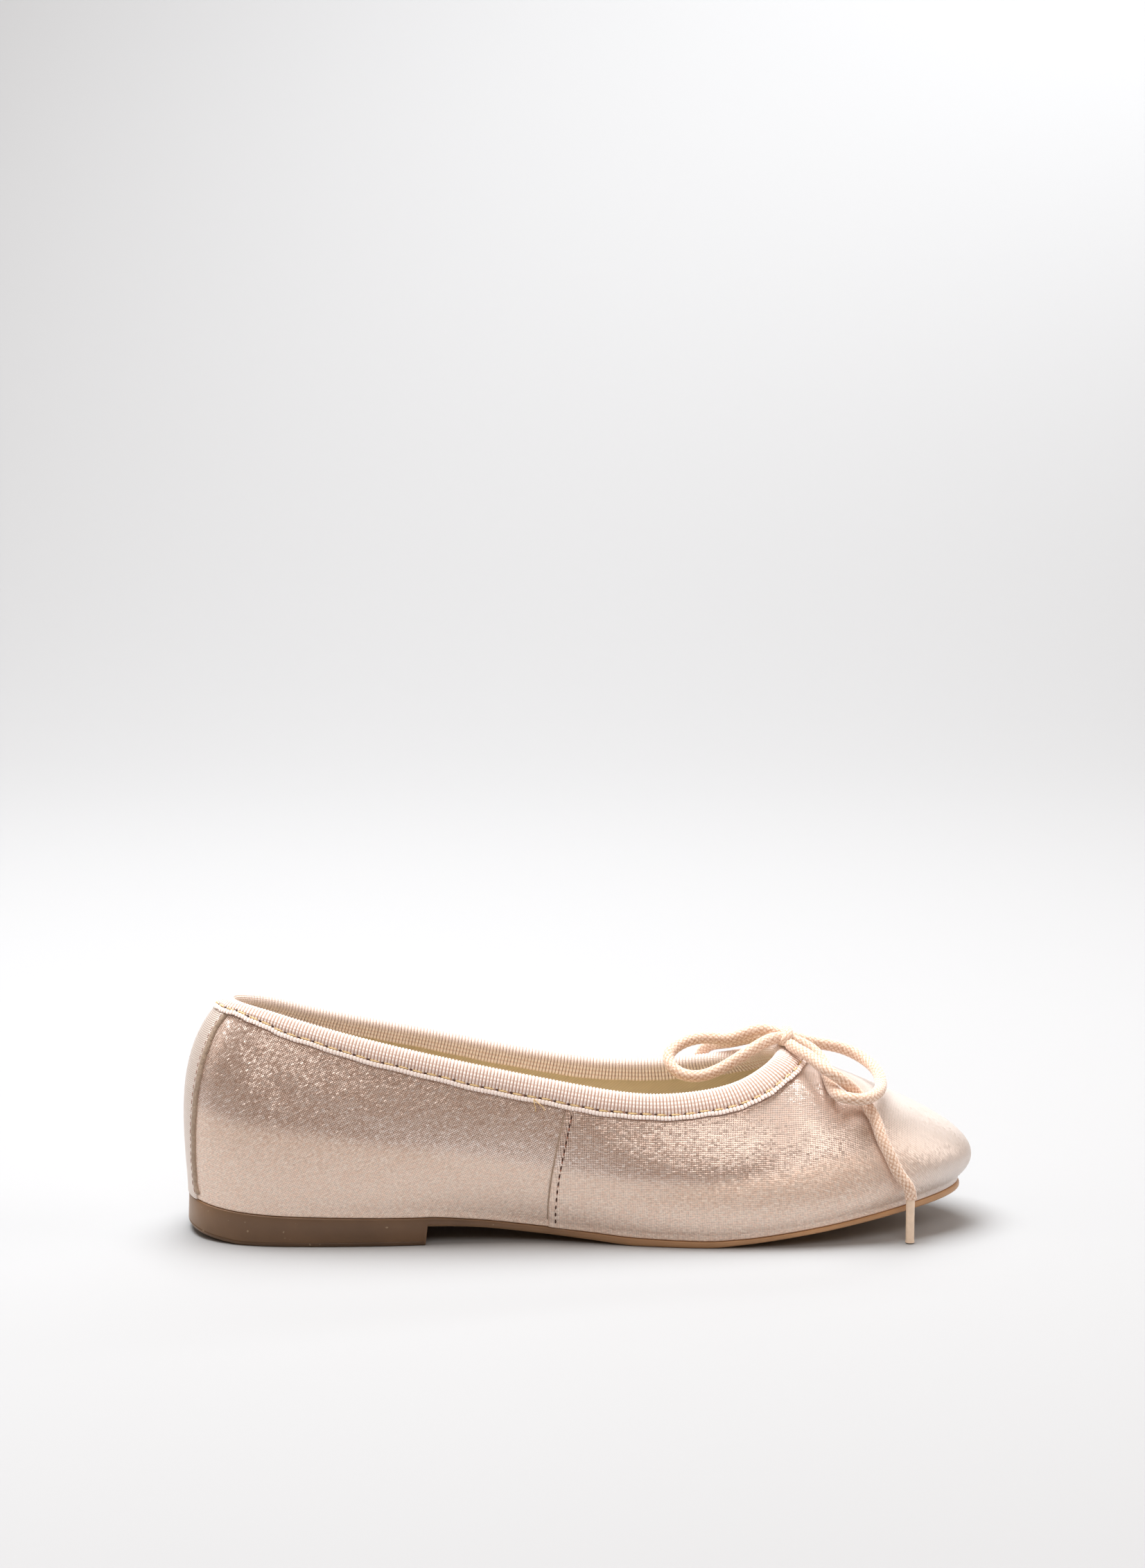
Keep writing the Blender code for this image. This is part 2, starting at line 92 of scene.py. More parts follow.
Sole = namedtuple("Sole", "at seat under")
SOLE = [
    Sole(0.0, 9.6, 2.4),
    Sole(3.0, 9.5, 1.7),
    Sole(9.0, 8.8, 0.7),
    Sole(16.0, 8.1, 0.0),
    Sole(30.0, 7.4, 0.0),
    Sole(HEEL_BREAST, 6.9, 0.0),
    Sole(HEEL_BREAST + BREAST_SLOPE, 6.9, 4.7),
    Sole(72.0, 6.2, 4.3),
    Sole(87.0, 4.5, 2.7),
    Sole(102.0, 2.9, 1.1),
    Sole(114.0, 1.9, 0.0),
    Sole(130.0, 1.6, 0.0),
    Sole(140.0, 2.2, 0.9),
    Sole(150.0, 3.4, 2.2),
    Sole(161.0, 5.0, 3.8),
    Sole(172.0, 6.8, 5.5),
    Sole(183.0, 8.4, 6.9),
    Sole(191.0, 9.3, 7.6),
    Sole(198.0, 10.0, 8.2),
]

# Routes of the cord's pieces, as points (station, y, z), with a point inside the knot at each end of a loop
# and at the start of each free end.
KNOT_AT = (152.9, -2.2, 47.1)
ROUTES = {
    "bow_loop_front": [
        (152.9, -0.8, 46.9), (155.1, 0.9, 46.0), (158.5, 1.8, 44.9), (162.8, 2.5, 43.8), (167.2, 3.0, 42.8),
        (171.3, 2.0, 41.3), (174.3, -1.0, 39.8), (176.1, -6.0, 38.3), (176.3, -11.0, 36.8),
        (174.8, -17.0, 35.9), (172.2, -21.4, 35.6), (169.0, -23.8, 35.7), (165.7, -23.2, 36.1),
        (163.5, -19.8, 36.7), (162.8, -15.6, 38.0), (162.4, -12.0, 39.7), (161.7, -7.5, 41.9),
        (159.3, -4.2, 44.1), (155.1, -2.6, 46.0), (152.9, -2.6, 46.9),
    ],
    "bow_loop_rear": [
        (152.9, -1.6, 47.4), (150.3, -0.9, 47.9), (147.7, -0.6, 48.5), (143.7, 0.0, 47.6),
        (138.5, 1.0, 45.9), (132.7, 1.5, 46.0), (128.5, 1.0, 45.4), (125.2, -0.5, 44.1),
        (123.4, -2.5, 42.7), (123.3, -5.0, 41.0), (124.9, -7.0, 39.5), (127.7, -8.4, 38.6),
        (131.0, -9.0, 38.7), (134.4, -8.8, 39.7), (138.1, -8.0, 41.4), (141.9, -7.0, 43.5),
        (145.6, -5.6, 45.4), (149.6, -4.2, 46.9), (152.9, -3.6, 47.2),
    ],
    "cord_end_near": [
        (152.7, -4.2, 46.6), (154.6, -7.7, 45.4), (157.6, -12.6, 44.4), (160.3, -16.8, 42.7),
        (163.3, -19.6, 41.1), (166.4, -19.7, 38.8), (168.8, -18.4, 36.3), (170.5, -18.2, 34.3),
        (171.8, -19.6, 32.7), (173.4, -22.2, 30.1), (174.5, -25.2, 26.5), (176.6, -27.4, 21.9),
        (178.9, -28.5, 17.3), (180.9, -28.8, 14.4), (181.5, -28.8, 12.6), (181.6, -28.8, 11.4),
    ],
    "cord_end_far": [
        (152.7, 0.4, 46.9), (150.9, 2.5, 46.2), (148.3, 4.8, 45.6), (143.6, 9.2, 43.7), (140.4, 12.7, 42.2),
        (137.8, 16.3, 41.0), (135.0, 19.8, 39.2), (132.9, 22.4, 34.8), (131.7, 24.6, 29.4),
        (131.1, 28.2, 23.4), (131.0, 31.6, 18.2), (131.1, 33.7, 15.2), (131.2, 34.2, 12.8),
        (131.2, 34.2, 11.6),
    ],
}
AGLET_LENGTH = 11.8
AGLET_GAP = 0.5


# Curves and the wall ------------------------------------------------------------------------------------


class Spline:
    """A cubic spline through rows of numbers, smooth to its second derivative. Place 2.5 is halfway from
    row 2 to row 3. A closed one runs on from its last row to its first. The first five numbers of the rows
    tell how far apart two of them lie."""

    def __init__(self, rows, closed):
        self.rows = np.asarray(rows, float)
        self.count = len(rows)
        after = np.roll(self.rows, -1, axis=0)
        self.span = np.linalg.norm((after - self.rows)[:, :5], axis=1)
        before = np.roll(self.span, 1)
        slope = (after - self.rows) / self.span[:, None]
        matrix = np.zeros((self.count, self.count))
        for i in range(self.count):
            matrix[i, i - 1] += before[i]
            matrix[i, i] += 2 * (before[i] + self.span[i])
            matrix[i, (i + 1) % self.count] += self.span[i]
        turn = 6 * (slope - np.roll(slope, 1, axis=0))
        if not closed:
            for end in (0, self.count - 1):
                matrix[end] = np.eye(self.count)[end]
                turn[end] = 0
        self.bend = np.linalg.solve(matrix, turn)

    def at(self, places):
        places = np.asarray(places, float) % self.count
        low = np.floor(places).astype(int) % self.count
        high = (low + 1) % self.count
        b = (places - np.floor(places))[:, None]
        a = 1 - b
        arch = (a**3 - a) * self.bend[low] + (b**3 - b) * self.bend[high]
        return a * self.rows[low] + b * self.rows[high] + self.span[low][:, None] ** 2 / 6 * arch


def smooth_step(share):
    share = np.clip(share, 0, 1)
    return share * share * (3 - 2 * share)


def level_curve(stations, values, at):
    """Cubic through a table's values that never overshoots them, so its level stretches stay level."""
    x, y = np.asarray(stations, float), np.asarray(values, float)
    width, slope = np.diff(x), np.diff(y) / np.diff(x)
    tangent = np.concatenate([slope[:1], np.zeros(len(x) - 2), slope[-1:]])
    same_way = slope[:-1] * slope[1:] > 0
    total = np.where(same_way, slope[:-1] + slope[1:], 1.0)
    tangent[1:-1] = np.where(same_way, 2 * slope[:-1] * slope[1:] / total, 0.0)
    i = np.clip(np.searchsorted(x, at, side="right") - 1, 0, len(x) - 2)
    t = np.clip((at - x[i]) / width[i], 0, 1)
    ends = (1 + 2 * t) * (1 - t) ** 2 * y[i] + t * t * (3 - 2 * t) * y[i + 1]
    return ends + width[i] * t * (1 - t) * ((1 - t) * tangent[i] - t * tangent[i + 1])


def seat_height(at):
    return level_curve([r.at for r in SOLE], [r.seat for r in SOLE], at)


def under_height(at):
    return level_curve([r.at for r in SOLE], [r.under for r in SOLE], at)


def unit(vectors):
    return vectors / np.maximum(np.linalg.norm(vectors, axis=-1, keepdims=True), 1e-9)


def lengths_along(points):
    """Distance along a line of points, up to each of them."""
    step = np.linalg.norm(np.diff(points, axis=0), axis=-1)
    return np.concatenate([np.zeros_like(step[:1]), np.cumsum(step, axis=0)])


def loop_rows():
    medial = [(p.foot_at, -p.foot_in, p.top_at, -p.top_in, p.high_in, *p[9:]) for p in PROFILES]
    lateral = [(p.foot_at, p.foot_out, p.top_at, p.top_out, p.high_out, *p[9:]) for p in PROFILES[-2:0:-1]]
    return medial + lateral


ROUND = Spline(loop_rows(), closed=True)
NUDGE = 0.01


def foot_line(places):
    table = ROUND.at(places)
    height = seat_height(table[:, 0]) + GAP
    return np.stack([table[:, 0] - LENGTH / 2, table[:, 1] + SIDE_SHIFT, height], axis=1)


def top_line(places):
    table = ROUND.at(places)
    return np.stack([table[:, 2] - LENGTH / 2, table[:, 3] + SIDE_SHIFT, table[:, 4]], axis=1)


def tape_depth(places):
    """How far the binding comes down the outside, with the slight waver of a hand-guided seam."""
    waver = 0.10 * np.sin(places * 7.3 + 0.8) + 0.07 * np.sin(places * 17.9)
    at_heel = 1 - smooth_step((side_of(places) - 1.2) / 1.6)
    return ROUND.at(places)[:, 9] + waver - 1.6 * at_heel


def inside_depth(places):
    return 0.72 * tape_depth(places)


def direction(line, places):
    return unit(line(places + NUDGE) - line(places - NUDGE))


def level_out(tangent):
    """Level unit vectors square to the tangents of a line that runs anticlockwise seen from above."""
    return unit(np.stack([tangent[:, 1], -tangent[:, 0], np.zeros(len(tangent))], axis=1))


def controls(places):
    """The four control points of each wall profile."""
    places = np.asarray(places, float)
    swell, rise, lean, drop = ROUND.at(places)[:, 5:9].T[:, :, None]
    foot, top = foot_line(places), top_line(places)
    foot_out = level_out(direction(foot_line, places))
    edge = direction(top_line, places)
    top_out = level_out(edge)
    fall = np.cross(top_out, edge)
    return (
        foot + FEATHER * UP,
        foot + swell * foot_out + rise * UP,
        top + lean * top_out - drop * fall,
        top,
    )


def bezier(points, share):
    a, b = 1 - share, share
    return a**3 * points[0] + 3 * a * a * b * points[1] + 3 * a * b * b * points[2] + b**3 * points[3]


class Wall:
    """Columns of the wall at given places. A place is read as a depth below the top edge."""

    FINE = 120

    def __init__(self, places):
        self.places = np.asarray(places, float)
        share = np.linspace(1, 0, self.FINE)[:, None, None]
        self.points = bezier(controls(self.places), share)
        after = bezier(controls(self.places + NUDGE), share)
        before = bezier(controls(self.places - NUDGE), share)
        self.across = (after - before) / (2 * NUDGE)
        upward = -np.gradient(self.points, axis=0)
        self.normals = unit(np.cross(self.across, upward))
        self.depth = lengths_along(self.points)
        self.height = self.depth[-1]
        self.upward = unit(upward[0])

    def read(self, table, depth):
        found = np.empty((len(self.places), table.shape[2]))
        for c in range(len(self.places)):
            for k in range(table.shape[2]):
                found[c, k] = np.interp(depth[c], self.depth[:, c], table[:, c, k])
        return found

    def normal(self, depth):
        return unit(self.read(self.normals, np.broadcast_to(depth, self.places.shape)))

    def below(self, depth, proud=0.0):
        depth = np.broadcast_to(depth, self.places.shape)
        over = np.minimum(depth, 0)[:, None]
        proud = np.broadcast_to(proud, self.places.shape)[:, None]
        return self.read(self.points, depth) - over * self.upward + proud * self.normal(depth)

    def spacing(self, depth):
        """Millimetres for each unit of place."""
        depth = np.broadcast_to(depth, self.places.shape)
        return np.linalg.norm(self.read(self.across, depth), axis=1)


def sole_edge(places, out, lift):
    """A line beside the feather line, lift above the seat there."""
    line = foot_line(places) + np.reshape(out, (-1, 1)) * level_out(direction(foot_line, places))
    line[:, 2] = seat_height(line[:, 0] + LENGTH / 2) + lift
    return line


def even_places(start, end, step, depths=(8.0, 40.0)):
    """Places from start to end that lie about step apart where they are widest of some depths."""
    fine = np.linspace(start, end, 1200)
    wall = Wall(fine)
    steps = [np.linalg.norm(np.diff(wall.below(depth), axis=0), axis=1) for depth in depths]
    along = np.concatenate([[0], np.cumsum(np.max(steps, axis=0))])
    return np.interp(np.linspace(0, along[-1], round(along[-1] / step) + 1), along, fine)


def side_of(places):
    """How far round a place is from the back of the heel, the same on both sides."""
    return np.minimum(places % ROUND.count, -places % ROUND.count)


# Nodes and materials ------------------------------------------------------------------------------------


def fill(node, sockets):
    """Sets a node's inputs by name or number. A value may be an output to link, or a node whose first output
    is linked."""
    for key, value in sockets.items():
        source = value.outputs[0] if isinstance(value, bpy.types.Node) else value
        if isinstance(source, bpy.types.NodeSocket):
            node.id_data.links.new(source, node.inputs[key])
        else:
            node.inputs[key].default_value = source


def add(tree, kind, sockets=None, **settings):
    """Adds a node with its inputs and settings."""
    node = tree.nodes.new(kind)
    for name, value in settings.items():
        setattr(node, name, value)
    fill(node, sockets or {})
    return node


def colour(code):
    """An sRGB hex colour as linear numbers."""
    parts = [int(code[i : i + 2], 16) / 255 for i in (0, 2, 4)]
    return (*[c / 12.92 if c <= 0.04045 else ((c + 0.055) / 1.055) ** 2.4 for c in parts], 1.0)


def new_material(name):
    made = bpy.data.materials.new(name)
    made.use_nodes = True
    tree = made.node_tree
    return made, tree, tree.nodes["Principled BSDF"]


# Millimetres from thread to thread or from line to line.
WEAVE = 0.44
FINE_RIB = 0.5
WARP = 0.46
TWILL = 0.9


def foil_cloth(name, turn):
    """Metallised foil pressed on a plain-woven cotton. The foil bridges the threads and breaks between them,
    so the eye sees a warm metal sheen, regular dark pinholes and single threads that sparkle."""
    made, tree, shader = new_material(name)
    cloth = add(tree, "ShaderNodeUVMap", uv_map="cloth")
    turned = add(tree, "ShaderNodeMapping", {0: cloth, "Rotation": (0, 0, math.radians(turn))})
    # No cloth lies quite straight: its rows wander by a third of a thread over a few millimetres.
    wander = add(tree, "ShaderNodeTexNoise", {0: cloth, "Scale": 0.22, "Detail": 1.0}, noise_dimensions="2D")
    drift = add(
        tree,
        "ShaderNodeVectorMath",
        {0: wander.outputs["Color"], 1: (0.7 * WEAVE, 0.7 * WEAVE, 0)},
        operation="MULTIPLY",
    )
    drifted = add(tree, "ShaderNodeVectorMath", {0: turned, 1: drift}, operation="ADD")
    cells = add(tree, "ShaderNodeVectorMath", {0: drifted, 3: 1 / WEAVE}, operation="SCALE")
    share = add(tree, "ShaderNodeVectorMath", {0: cells}, operation="FRACTION")
    centred = add(tree, "ShaderNodeVectorMath", {0: share, 1: (0.5, 0.5, 0)}, operation="SUBTRACT")
    distance = add(tree, "ShaderNodeVectorMath", {0: centred}, operation="LENGTH")
    # A thread often lies over more than one other and shines along all of them.
    runs = add(tree, "ShaderNodeVectorMath", {0: cells, 1: (0.6, 1.0, 0)}, operation="MULTIPLY")
    cell = add(tree, "ShaderNodeVectorMath", {0: runs}, operation="FLOOR")
    chance = add(tree, "ShaderNodeTexWhiteNoise", {0: cell}, noise_dimensions="2D")
    # The holes are where four threads meet, some wide open and some closed by the foil.
    hole = add(
        tree,
        "ShaderNodeMapRange",
        {0: distance.outputs["Value"], 1: 0.42, 2: 0.6, 3: 0.0, 4: 1.0},
        interpolation_type="SMOOTHSTEP",
    )
    # Each crossing of two threads leans its own way, which is what sparkles.
    lean = add(
        tree, "ShaderNodeVectorMath", {0: chance.outputs["Color"], 1: (0.5, 0.5, 0.5)}, operation="SUBTRACT"
    )
    rare = add(tree, "ShaderNodeMath", {0: chance.outputs["Value"], 1: 3.0}, operation="POWER")
    reach = add(tree, "ShaderNodeMapRange", {0: rare, 1: 0.0, 2: 1.0, 3: 0.12, 4: 0.34})
    lean_size = add(tree, "ShaderNodeVectorMath", {0: lean, 3: reach}, operation="SCALE")
    # Painted light: the open share is low lower on the wall and at the toe, and there it hides the dark
    # pinholes and warms the tint, so the lower band looks lighter.
    open_share_painted_light = add(tree, "ShaderNodeAttribute", attribute_name="open_painted_light").outputs["Fac"]
    # Uneven yarn gives the cloth a soft pebbling over one or two threads.
    yarn = add(tree, "ShaderNodeTexNoise", {0: runs, "Scale": 0.95, "Detail": 2.0}, noise_dimensions="2D")
    pebble = add(
        tree, "ShaderNodeVectorMath", {0: yarn.outputs["Color"], 1: (0.5, 0.5, 0.5)}, operation="SUBTRACT"
    )
    lively = add(tree, "ShaderNodeMapRange", {0: open_share_painted_light, 1: 0.38, 2: 1.0, 3: 0.26, 4: 0.22})
    toe = add(tree, "ShaderNodeAttribute", attribute_name="toe").outputs["Fac"]
    calm = add(tree, "ShaderNodeMapRange", {0: toe, 1: 0.0, 2: 1.0, 3: 1.0, 4: 0.15})
    pebble_size = add(tree, "ShaderNodeMath", {0: lively, 1: calm}, operation="MULTIPLY")
    pebbled = add(tree, "ShaderNodeVectorMath", {0: pebble, 3: pebble_size}, operation="SCALE")
    both = add(tree, "ShaderNodeVectorMath", {0: lean_size, 1: pebbled}, operation="ADD")
    surface = add(tree, "ShaderNodeNewGeometry")
    leaning = add(tree, "ShaderNodeVectorMath", {0: surface.outputs["Normal"], 1: both}, operation="ADD")
    facing = add(tree, "ShaderNodeVectorMath", {0: leaning}, operation="NORMALIZE")
    hole_seen = add(tree, "ShaderNodeMath", {0: hole, 1: open_share_painted_light}, operation="MULTIPLY")
    foil = add(
        tree,
        "ShaderNodeMix",
        {"Factor": chance.outputs["Value"], 6: colour("F6DFD2"), 7: colour("FFF1E8")},
        data_type="RGBA",
    )
    cloudy = add(tree, "ShaderNodeMapRange", {0: yarn, 1: 0.32, 2: 0.68, 3: 0.84, 4: 1.05})
    toned = add(tree, "ShaderNodeVectorMath", {0: foil.outputs[2], 3: cloudy}, operation="SCALE")
    # Painted light: where the open share is low, lower on the wall and at the toe, the tint is warmer.
    smooth = add(
        tree,
        "ShaderNodeMix",
        {"Factor": open_share_painted_light, 6: colour("FFFAF1"), 7: colour("FFFDFC")},
        data_type="RGBA",
    )
    tinted = add(tree, "ShaderNodeVectorMath", {0: toned, 1: smooth.outputs[2]}, operation="MULTIPLY")
    worn = add(tree, "ShaderNodeMix", {"Factor": toe, 6: tinted, 7: colour("E4DAD3")}, data_type="RGBA")
    base = add(
        tree,
        "ShaderNodeMix",
        {"Factor": hole_seen, 6: worn.outputs[2], 7: colour("4A2E22")},
        data_type="RGBA",
    )
    bright = add(tree, "ShaderNodeMapRange", {0: open_share_painted_light, 1: 0.3, 2: 1.0, 3: 0.56, 4: 0.84})
    metal = add(tree, "ShaderNodeMapRange", {0: hole_seen, 1: 0.0, 2: 1.0, 3: bright, 4: 0.1})
    satin = add(tree, "ShaderNodeMapRange", {0: open_share_painted_light, 1: 0.3, 2: 1.0, 3: 0.42, 4: 0.3})
    rough = add(
        tree, "ShaderNodeMath", {0: chance.outputs["Value"], 1: 0.08, 2: satin}, operation="MULTIPLY_ADD"
    )
    dome = add(
        tree,
        "ShaderNodeBump",
        {"Strength": 0.45, "Distance": 0.1 * MM, "Height": distance.outputs["Value"], "Normal": facing},
        invert=True,
    )
    fill(shader, {"Base Color": base.outputs[2], "Metallic": metal, "Roughness": rough, "Normal": dome})
    return made


def draw_lines(tree, shader, across, pitch, colours, strength, depth, full=1.0):
    """Shades and raises fine lines, with painted shade darkening their troughs. across counts millimetres
    over them, and a line's crest reaches its full colour at a height of full on a scale from -1 to 1."""
    turns = add(tree, "ShaderNodeMath", {0: across, 1: 2 * math.pi / pitch}, operation="MULTIPLY")
    wave = add(tree, "ShaderNodeMath", {0: turns}, operation="SINE")
    crest = add(tree, "ShaderNodeMapRange", {0: wave, 1: -1.0, 2: full, 3: 0.0, 4: 1.0})
    low, high = (colour(code) for code in colours)
    shade = add(tree, "ShaderNodeMix", {"Factor": crest, 6: low, 7: high}, data_type="RGBA")
    ridge = add(tree, "ShaderNodeBump", {"Strength": strength, "Distance": depth * MM, "Height": wave})
    fill(shader, {"Base Color": shade.outputs[2], "Normal": ridge})


def strip_cloth():
    """The same foil on a fine ribbed cloth, cut across, so the back strip shows close level lines."""
    made, tree, shader = new_material("foil_on_fine_rib_cloth")
    cloth = add(tree, "ShaderNodeUVMap", uv_map="cloth")
    parts = add(tree, "ShaderNodeSeparateXYZ", {0: cloth})
    draw_lines(tree, shader, parts.outputs["Y"], FINE_RIB, ("DED0C6", "F8EEE6"), strength=0.4, depth=0.08)
    fill(shader, {"Metallic": 0.55, "Roughness": 0.48})
    return made


def ribbon_rib():
    """Grosgrain ribbon in polyester: each rib is a cord of weft under fine warp threads, a matt cloth whose
    threads catch the light as rows of small beads."""
    made, tree, shader = new_material("grosgrain_rib")
    down = add(tree, "ShaderNodeAttribute", attribute_name="down").outputs["Fac"]
    draw_lines(tree, shader, down, WARP, ("F0DCD2", "FFF4EE"), strength=0.6, depth=0.06, full=0.4)
    fill(shader, {"Roughness": 0.62, "Sheen Weight": 0.25})
    return made


def plain_cloth(name, code, rough, grain, depth=0.08):
    """Matt woven or felted cloth: a fine random grain, no shine."""
    made, tree, shader = new_material(name)
    place = add(tree, "ShaderNodeTexCoord")
    fine = add(
        tree, "ShaderNodeTexNoise", {0: place.outputs["Object"], "Scale": 1 / (grain * MM), "Detail": 3.0}
    )
    shade = add(tree, "ShaderNodeMapRange", {0: fine, 1: 0.3, 2: 0.7, 3: 0.82, 4: 1.12})
    base = add(tree, "ShaderNodeVectorMath", {0: colour(code)[:3], 3: shade}, operation="SCALE")
    bump = add(tree, "ShaderNodeBump", {"Strength": 0.6, "Distance": depth * MM, "Height": fine})
    fill(shader, {"Base Color": base, "Normal": bump, "Roughness": rough, "Sheen Weight": 0.2})
    return made


def lining_cloth():
    """Cotton twill lining: matt, yellowish, with fine slanting lines."""
    made, tree, shader = new_material("cotton_twill_lining")
    cloth = add(tree, "ShaderNodeUVMap", uv_map="cloth")
    parts = add(tree, "ShaderNodeSeparateXYZ", {0: cloth})
    slant = add(tree, "ShaderNodeMath", {0: parts.outputs["X"], 1: parts.outputs["Y"]}, operation="ADD")
    draw_lines(tree, shader, slant.outputs[0], TWILL, ("CCBC9C", "D5C7AB"), strength=0.3, depth=0.06)
    fill(shader, {"Roughness": 0.85, "Sheen Weight": 0.15})
    return made


def moulded_rubber():
    """Translucent brown thermoplastic rubber, moulded, with a soft sheen and a faint mottling. Painted light
    gives it a dark colour at the thick heel block, a lighter one towards the thin forepart and a lighter one
    still where the surface turns away from the eye, as if light came through its thin edge."""
    made, tree, shader = new_material("moulded_thermoplastic_rubber")
    place = add(tree, "ShaderNodeTexCoord")
    where = add(tree, "ShaderNodeSeparateXYZ", {0: place.outputs["Object"]})
    # Painted light: from dark brown at the heel block to light tan at the thin forepart, standing in for
    # light that comes through the thin rubber.
    thin = add(tree, "ShaderNodeMapRange", {0: where.outputs["X"], 1: -0.03, 2: 0.05, 3: 0.0, 4: 1.0})
    body = add(
        tree, "ShaderNodeMix", {"Factor": thin, 6: colour("6A5039"), 7: colour("B88E66")}, data_type="RGBA"
    )
    # Painted glow: the colour is mixed lighter where the surface turns away from the eye, standing in for
    # light coming through the rubber.
    edge = add(tree, "ShaderNodeLayerWeight", {"Blend": 0.35})
    painted_edge_glow = add(tree, "ShaderNodeMath", {0: edge.outputs["Facing"], 1: 0.6}, operation="MULTIPLY")
    painted_glow_colour = add(
        tree, "ShaderNodeMix", {"Factor": painted_edge_glow, 6: body.outputs[2], 7: colour("C39A70")}, data_type="RGBA"
    )
    cloud = add(tree, "ShaderNodeTexNoise", {0: place.outputs["Object"], "Scale": 90.0, "Detail": 4.0})
    shade = add(tree, "ShaderNodeMapRange", {0: cloud, 1: 0.3, 2: 0.7, 3: 0.86, 4: 1.14})
    # Painted shade: the heel's lift, marked in the mesh, is coloured darker.
    painted_lift_shade = add(tree, "ShaderNodeAttribute", attribute_name="painted_lift_shade")
    mottle_and_lift_shade = add(
        tree, "ShaderNodeMath", {0: painted_lift_shade.outputs["Fac"], 1: -0.35, 2: shade}, operation="MULTIPLY_ADD"
    )
    mottled = add(tree, "ShaderNodeVectorMath", {0: painted_glow_colour.outputs[2], 3: mottle_and_lift_shade}, operation="SCALE")
    # Specks of dried cement and dust.
    dust = add(tree, "ShaderNodeTexNoise", {0: place.outputs["Object"], "Scale": 700.0, "Detail": 1.0})
    speck = add(tree, "ShaderNodeMapRange", {0: dust, 1: 0.74, 2: 0.78, 3: 0.0, 4: 0.45})
    dusty = add(tree, "ShaderNodeMix", {"Factor": speck, 6: mottled, 7: colour("BFA98C")}, data_type="RGBA")
    fine = add(tree, "ShaderNodeTexNoise", {0: place.outputs["Object"], "Scale": 1500.0, "Detail": 2.0})
    bump = add(tree, "ShaderNodeBump", {"Strength": 0.25, "Distance": 0.05 * MM, "Height": fine})
    fill(shader, {"Base Color": dusty.outputs[2], "Normal": bump, "Roughness": 0.4})
    return made


def braided_cotton():
    """Soft cotton braid: matt, hairy, with painted shade darkening the furrows between its strands."""
    made, tree, shader = new_material("braided_cotton")
    furrow_shade = add(tree, "ShaderNodeAttribute", attribute_name="furrow_shade")
    place = add(tree, "ShaderNodeTexCoord")
    fibre = add(tree, "ShaderNodeTexNoise", {0: place.outputs["Object"], "Scale": 2600.0, "Detail": 3.0})
    shade = add(tree, "ShaderNodeMapRange", {0: fibre, 1: 0.25, 2: 0.75, 3: -0.45, 4: 0.45})
    raised = add(tree, "ShaderNodeMath", {0: furrow_shade.outputs["Fac"], 1: shade}, operation="ADD")
    ramp = add(tree, "ShaderNodeMapRange", {0: raised, 1: 0.1, 2: 0.9, 3: 0.0, 4: 1.0})
    # Painted shade: the furrows between the strands are coloured darker.
    base = add(
        tree, "ShaderNodeMix", {"Factor": ramp, 6: colour("CBA284"), 7: colour("FAE6D6")}, data_type="RGBA"
    )
    bump = add(tree, "ShaderNodeBump", {"Strength": 0.7, "Distance": 0.12 * MM, "Height": fibre})
    fill(shader, {"Base Color": base.outputs[2], "Normal": bump, "Roughness": 0.95, "Sheen Weight": 0.5})
    return made


def plain_material(name, code, rough, mottle=0.1):
    """One colour with a slight mottle, for small trim."""
    made, tree, shader = new_material(name)
    place = add(tree, "ShaderNodeTexCoord")
    cloud = add(tree, "ShaderNodeTexNoise", {0: place.outputs["Object"], "Scale": 900.0, "Detail": 2.0})
    shade = add(tree, "ShaderNodeMapRange", {0: cloud, 1: 0.3, 2: 0.7, 3: 1 - mottle, 4: 1 + mottle})
    base = add(tree, "ShaderNodeVectorMath", {0: colour(code)[:3], 3: shade}, operation="SCALE")
    fill(shader, {"Base Color": base, "Roughness": rough})
    return made


FOIL_QUARTER = foil_cloth("foil_cloth_on_the_bias", turn=-27.0)
FOIL_VAMP = foil_cloth("foil_cloth_straight", turn=0.0)
FOIL_STRIP = strip_cloth()
RIB = ribbon_rib()
# Painted shade: the ribbon's ground under the ribs is coloured darker than the ribs, for the shade between
# them.
RIBBON_GROUND_SHADE = plain_cloth("grosgrain_ground_shade", "BC9886", rough=0.8, grain=0.2)
RAW_EDGE = plain_cloth("raw_cloth_edge", "AC9784", rough=0.95, grain=0.6, depth=0.45)
LINING = lining_cloth()
SOCK = plain_cloth("sock_cloth", "E2D3B6", rough=0.85, grain=0.45)
RUBBER = moulded_rubber()
COTTON = braided_cotton()
THREAD = plain_material("polyester_thread", "E2C48E", 0.55)
# Painted shade: a dark colour for beads that stand in for the shade in needle holes.
NEEDLE_HOLE_SHADE = plain_material("needle_hole_shade", "4A3026", 0.9)
SEAM_THREAD = plain_material("seam_thread", "9C6650", 0.6)
AGLET_FILM = plain_material("heat_shrunk_film", "F0DAC2", 0.28, mottle=0.05)


# Meshes -------------------------------------------------------------------------------------------------


def new_object(name, data):
    """A new object in the scene."""
    obj = bpy.data.objects.new(name, data)
    bpy.context.scene.collection.objects.link(obj)
    return obj


def mark(mesh, name, values):
    """Gives each point of a mesh a number that its material reads."""
    mesh.attributes.new(name, "FLOAT", "POINT").data.foreach_set("value", np.concatenate(values))


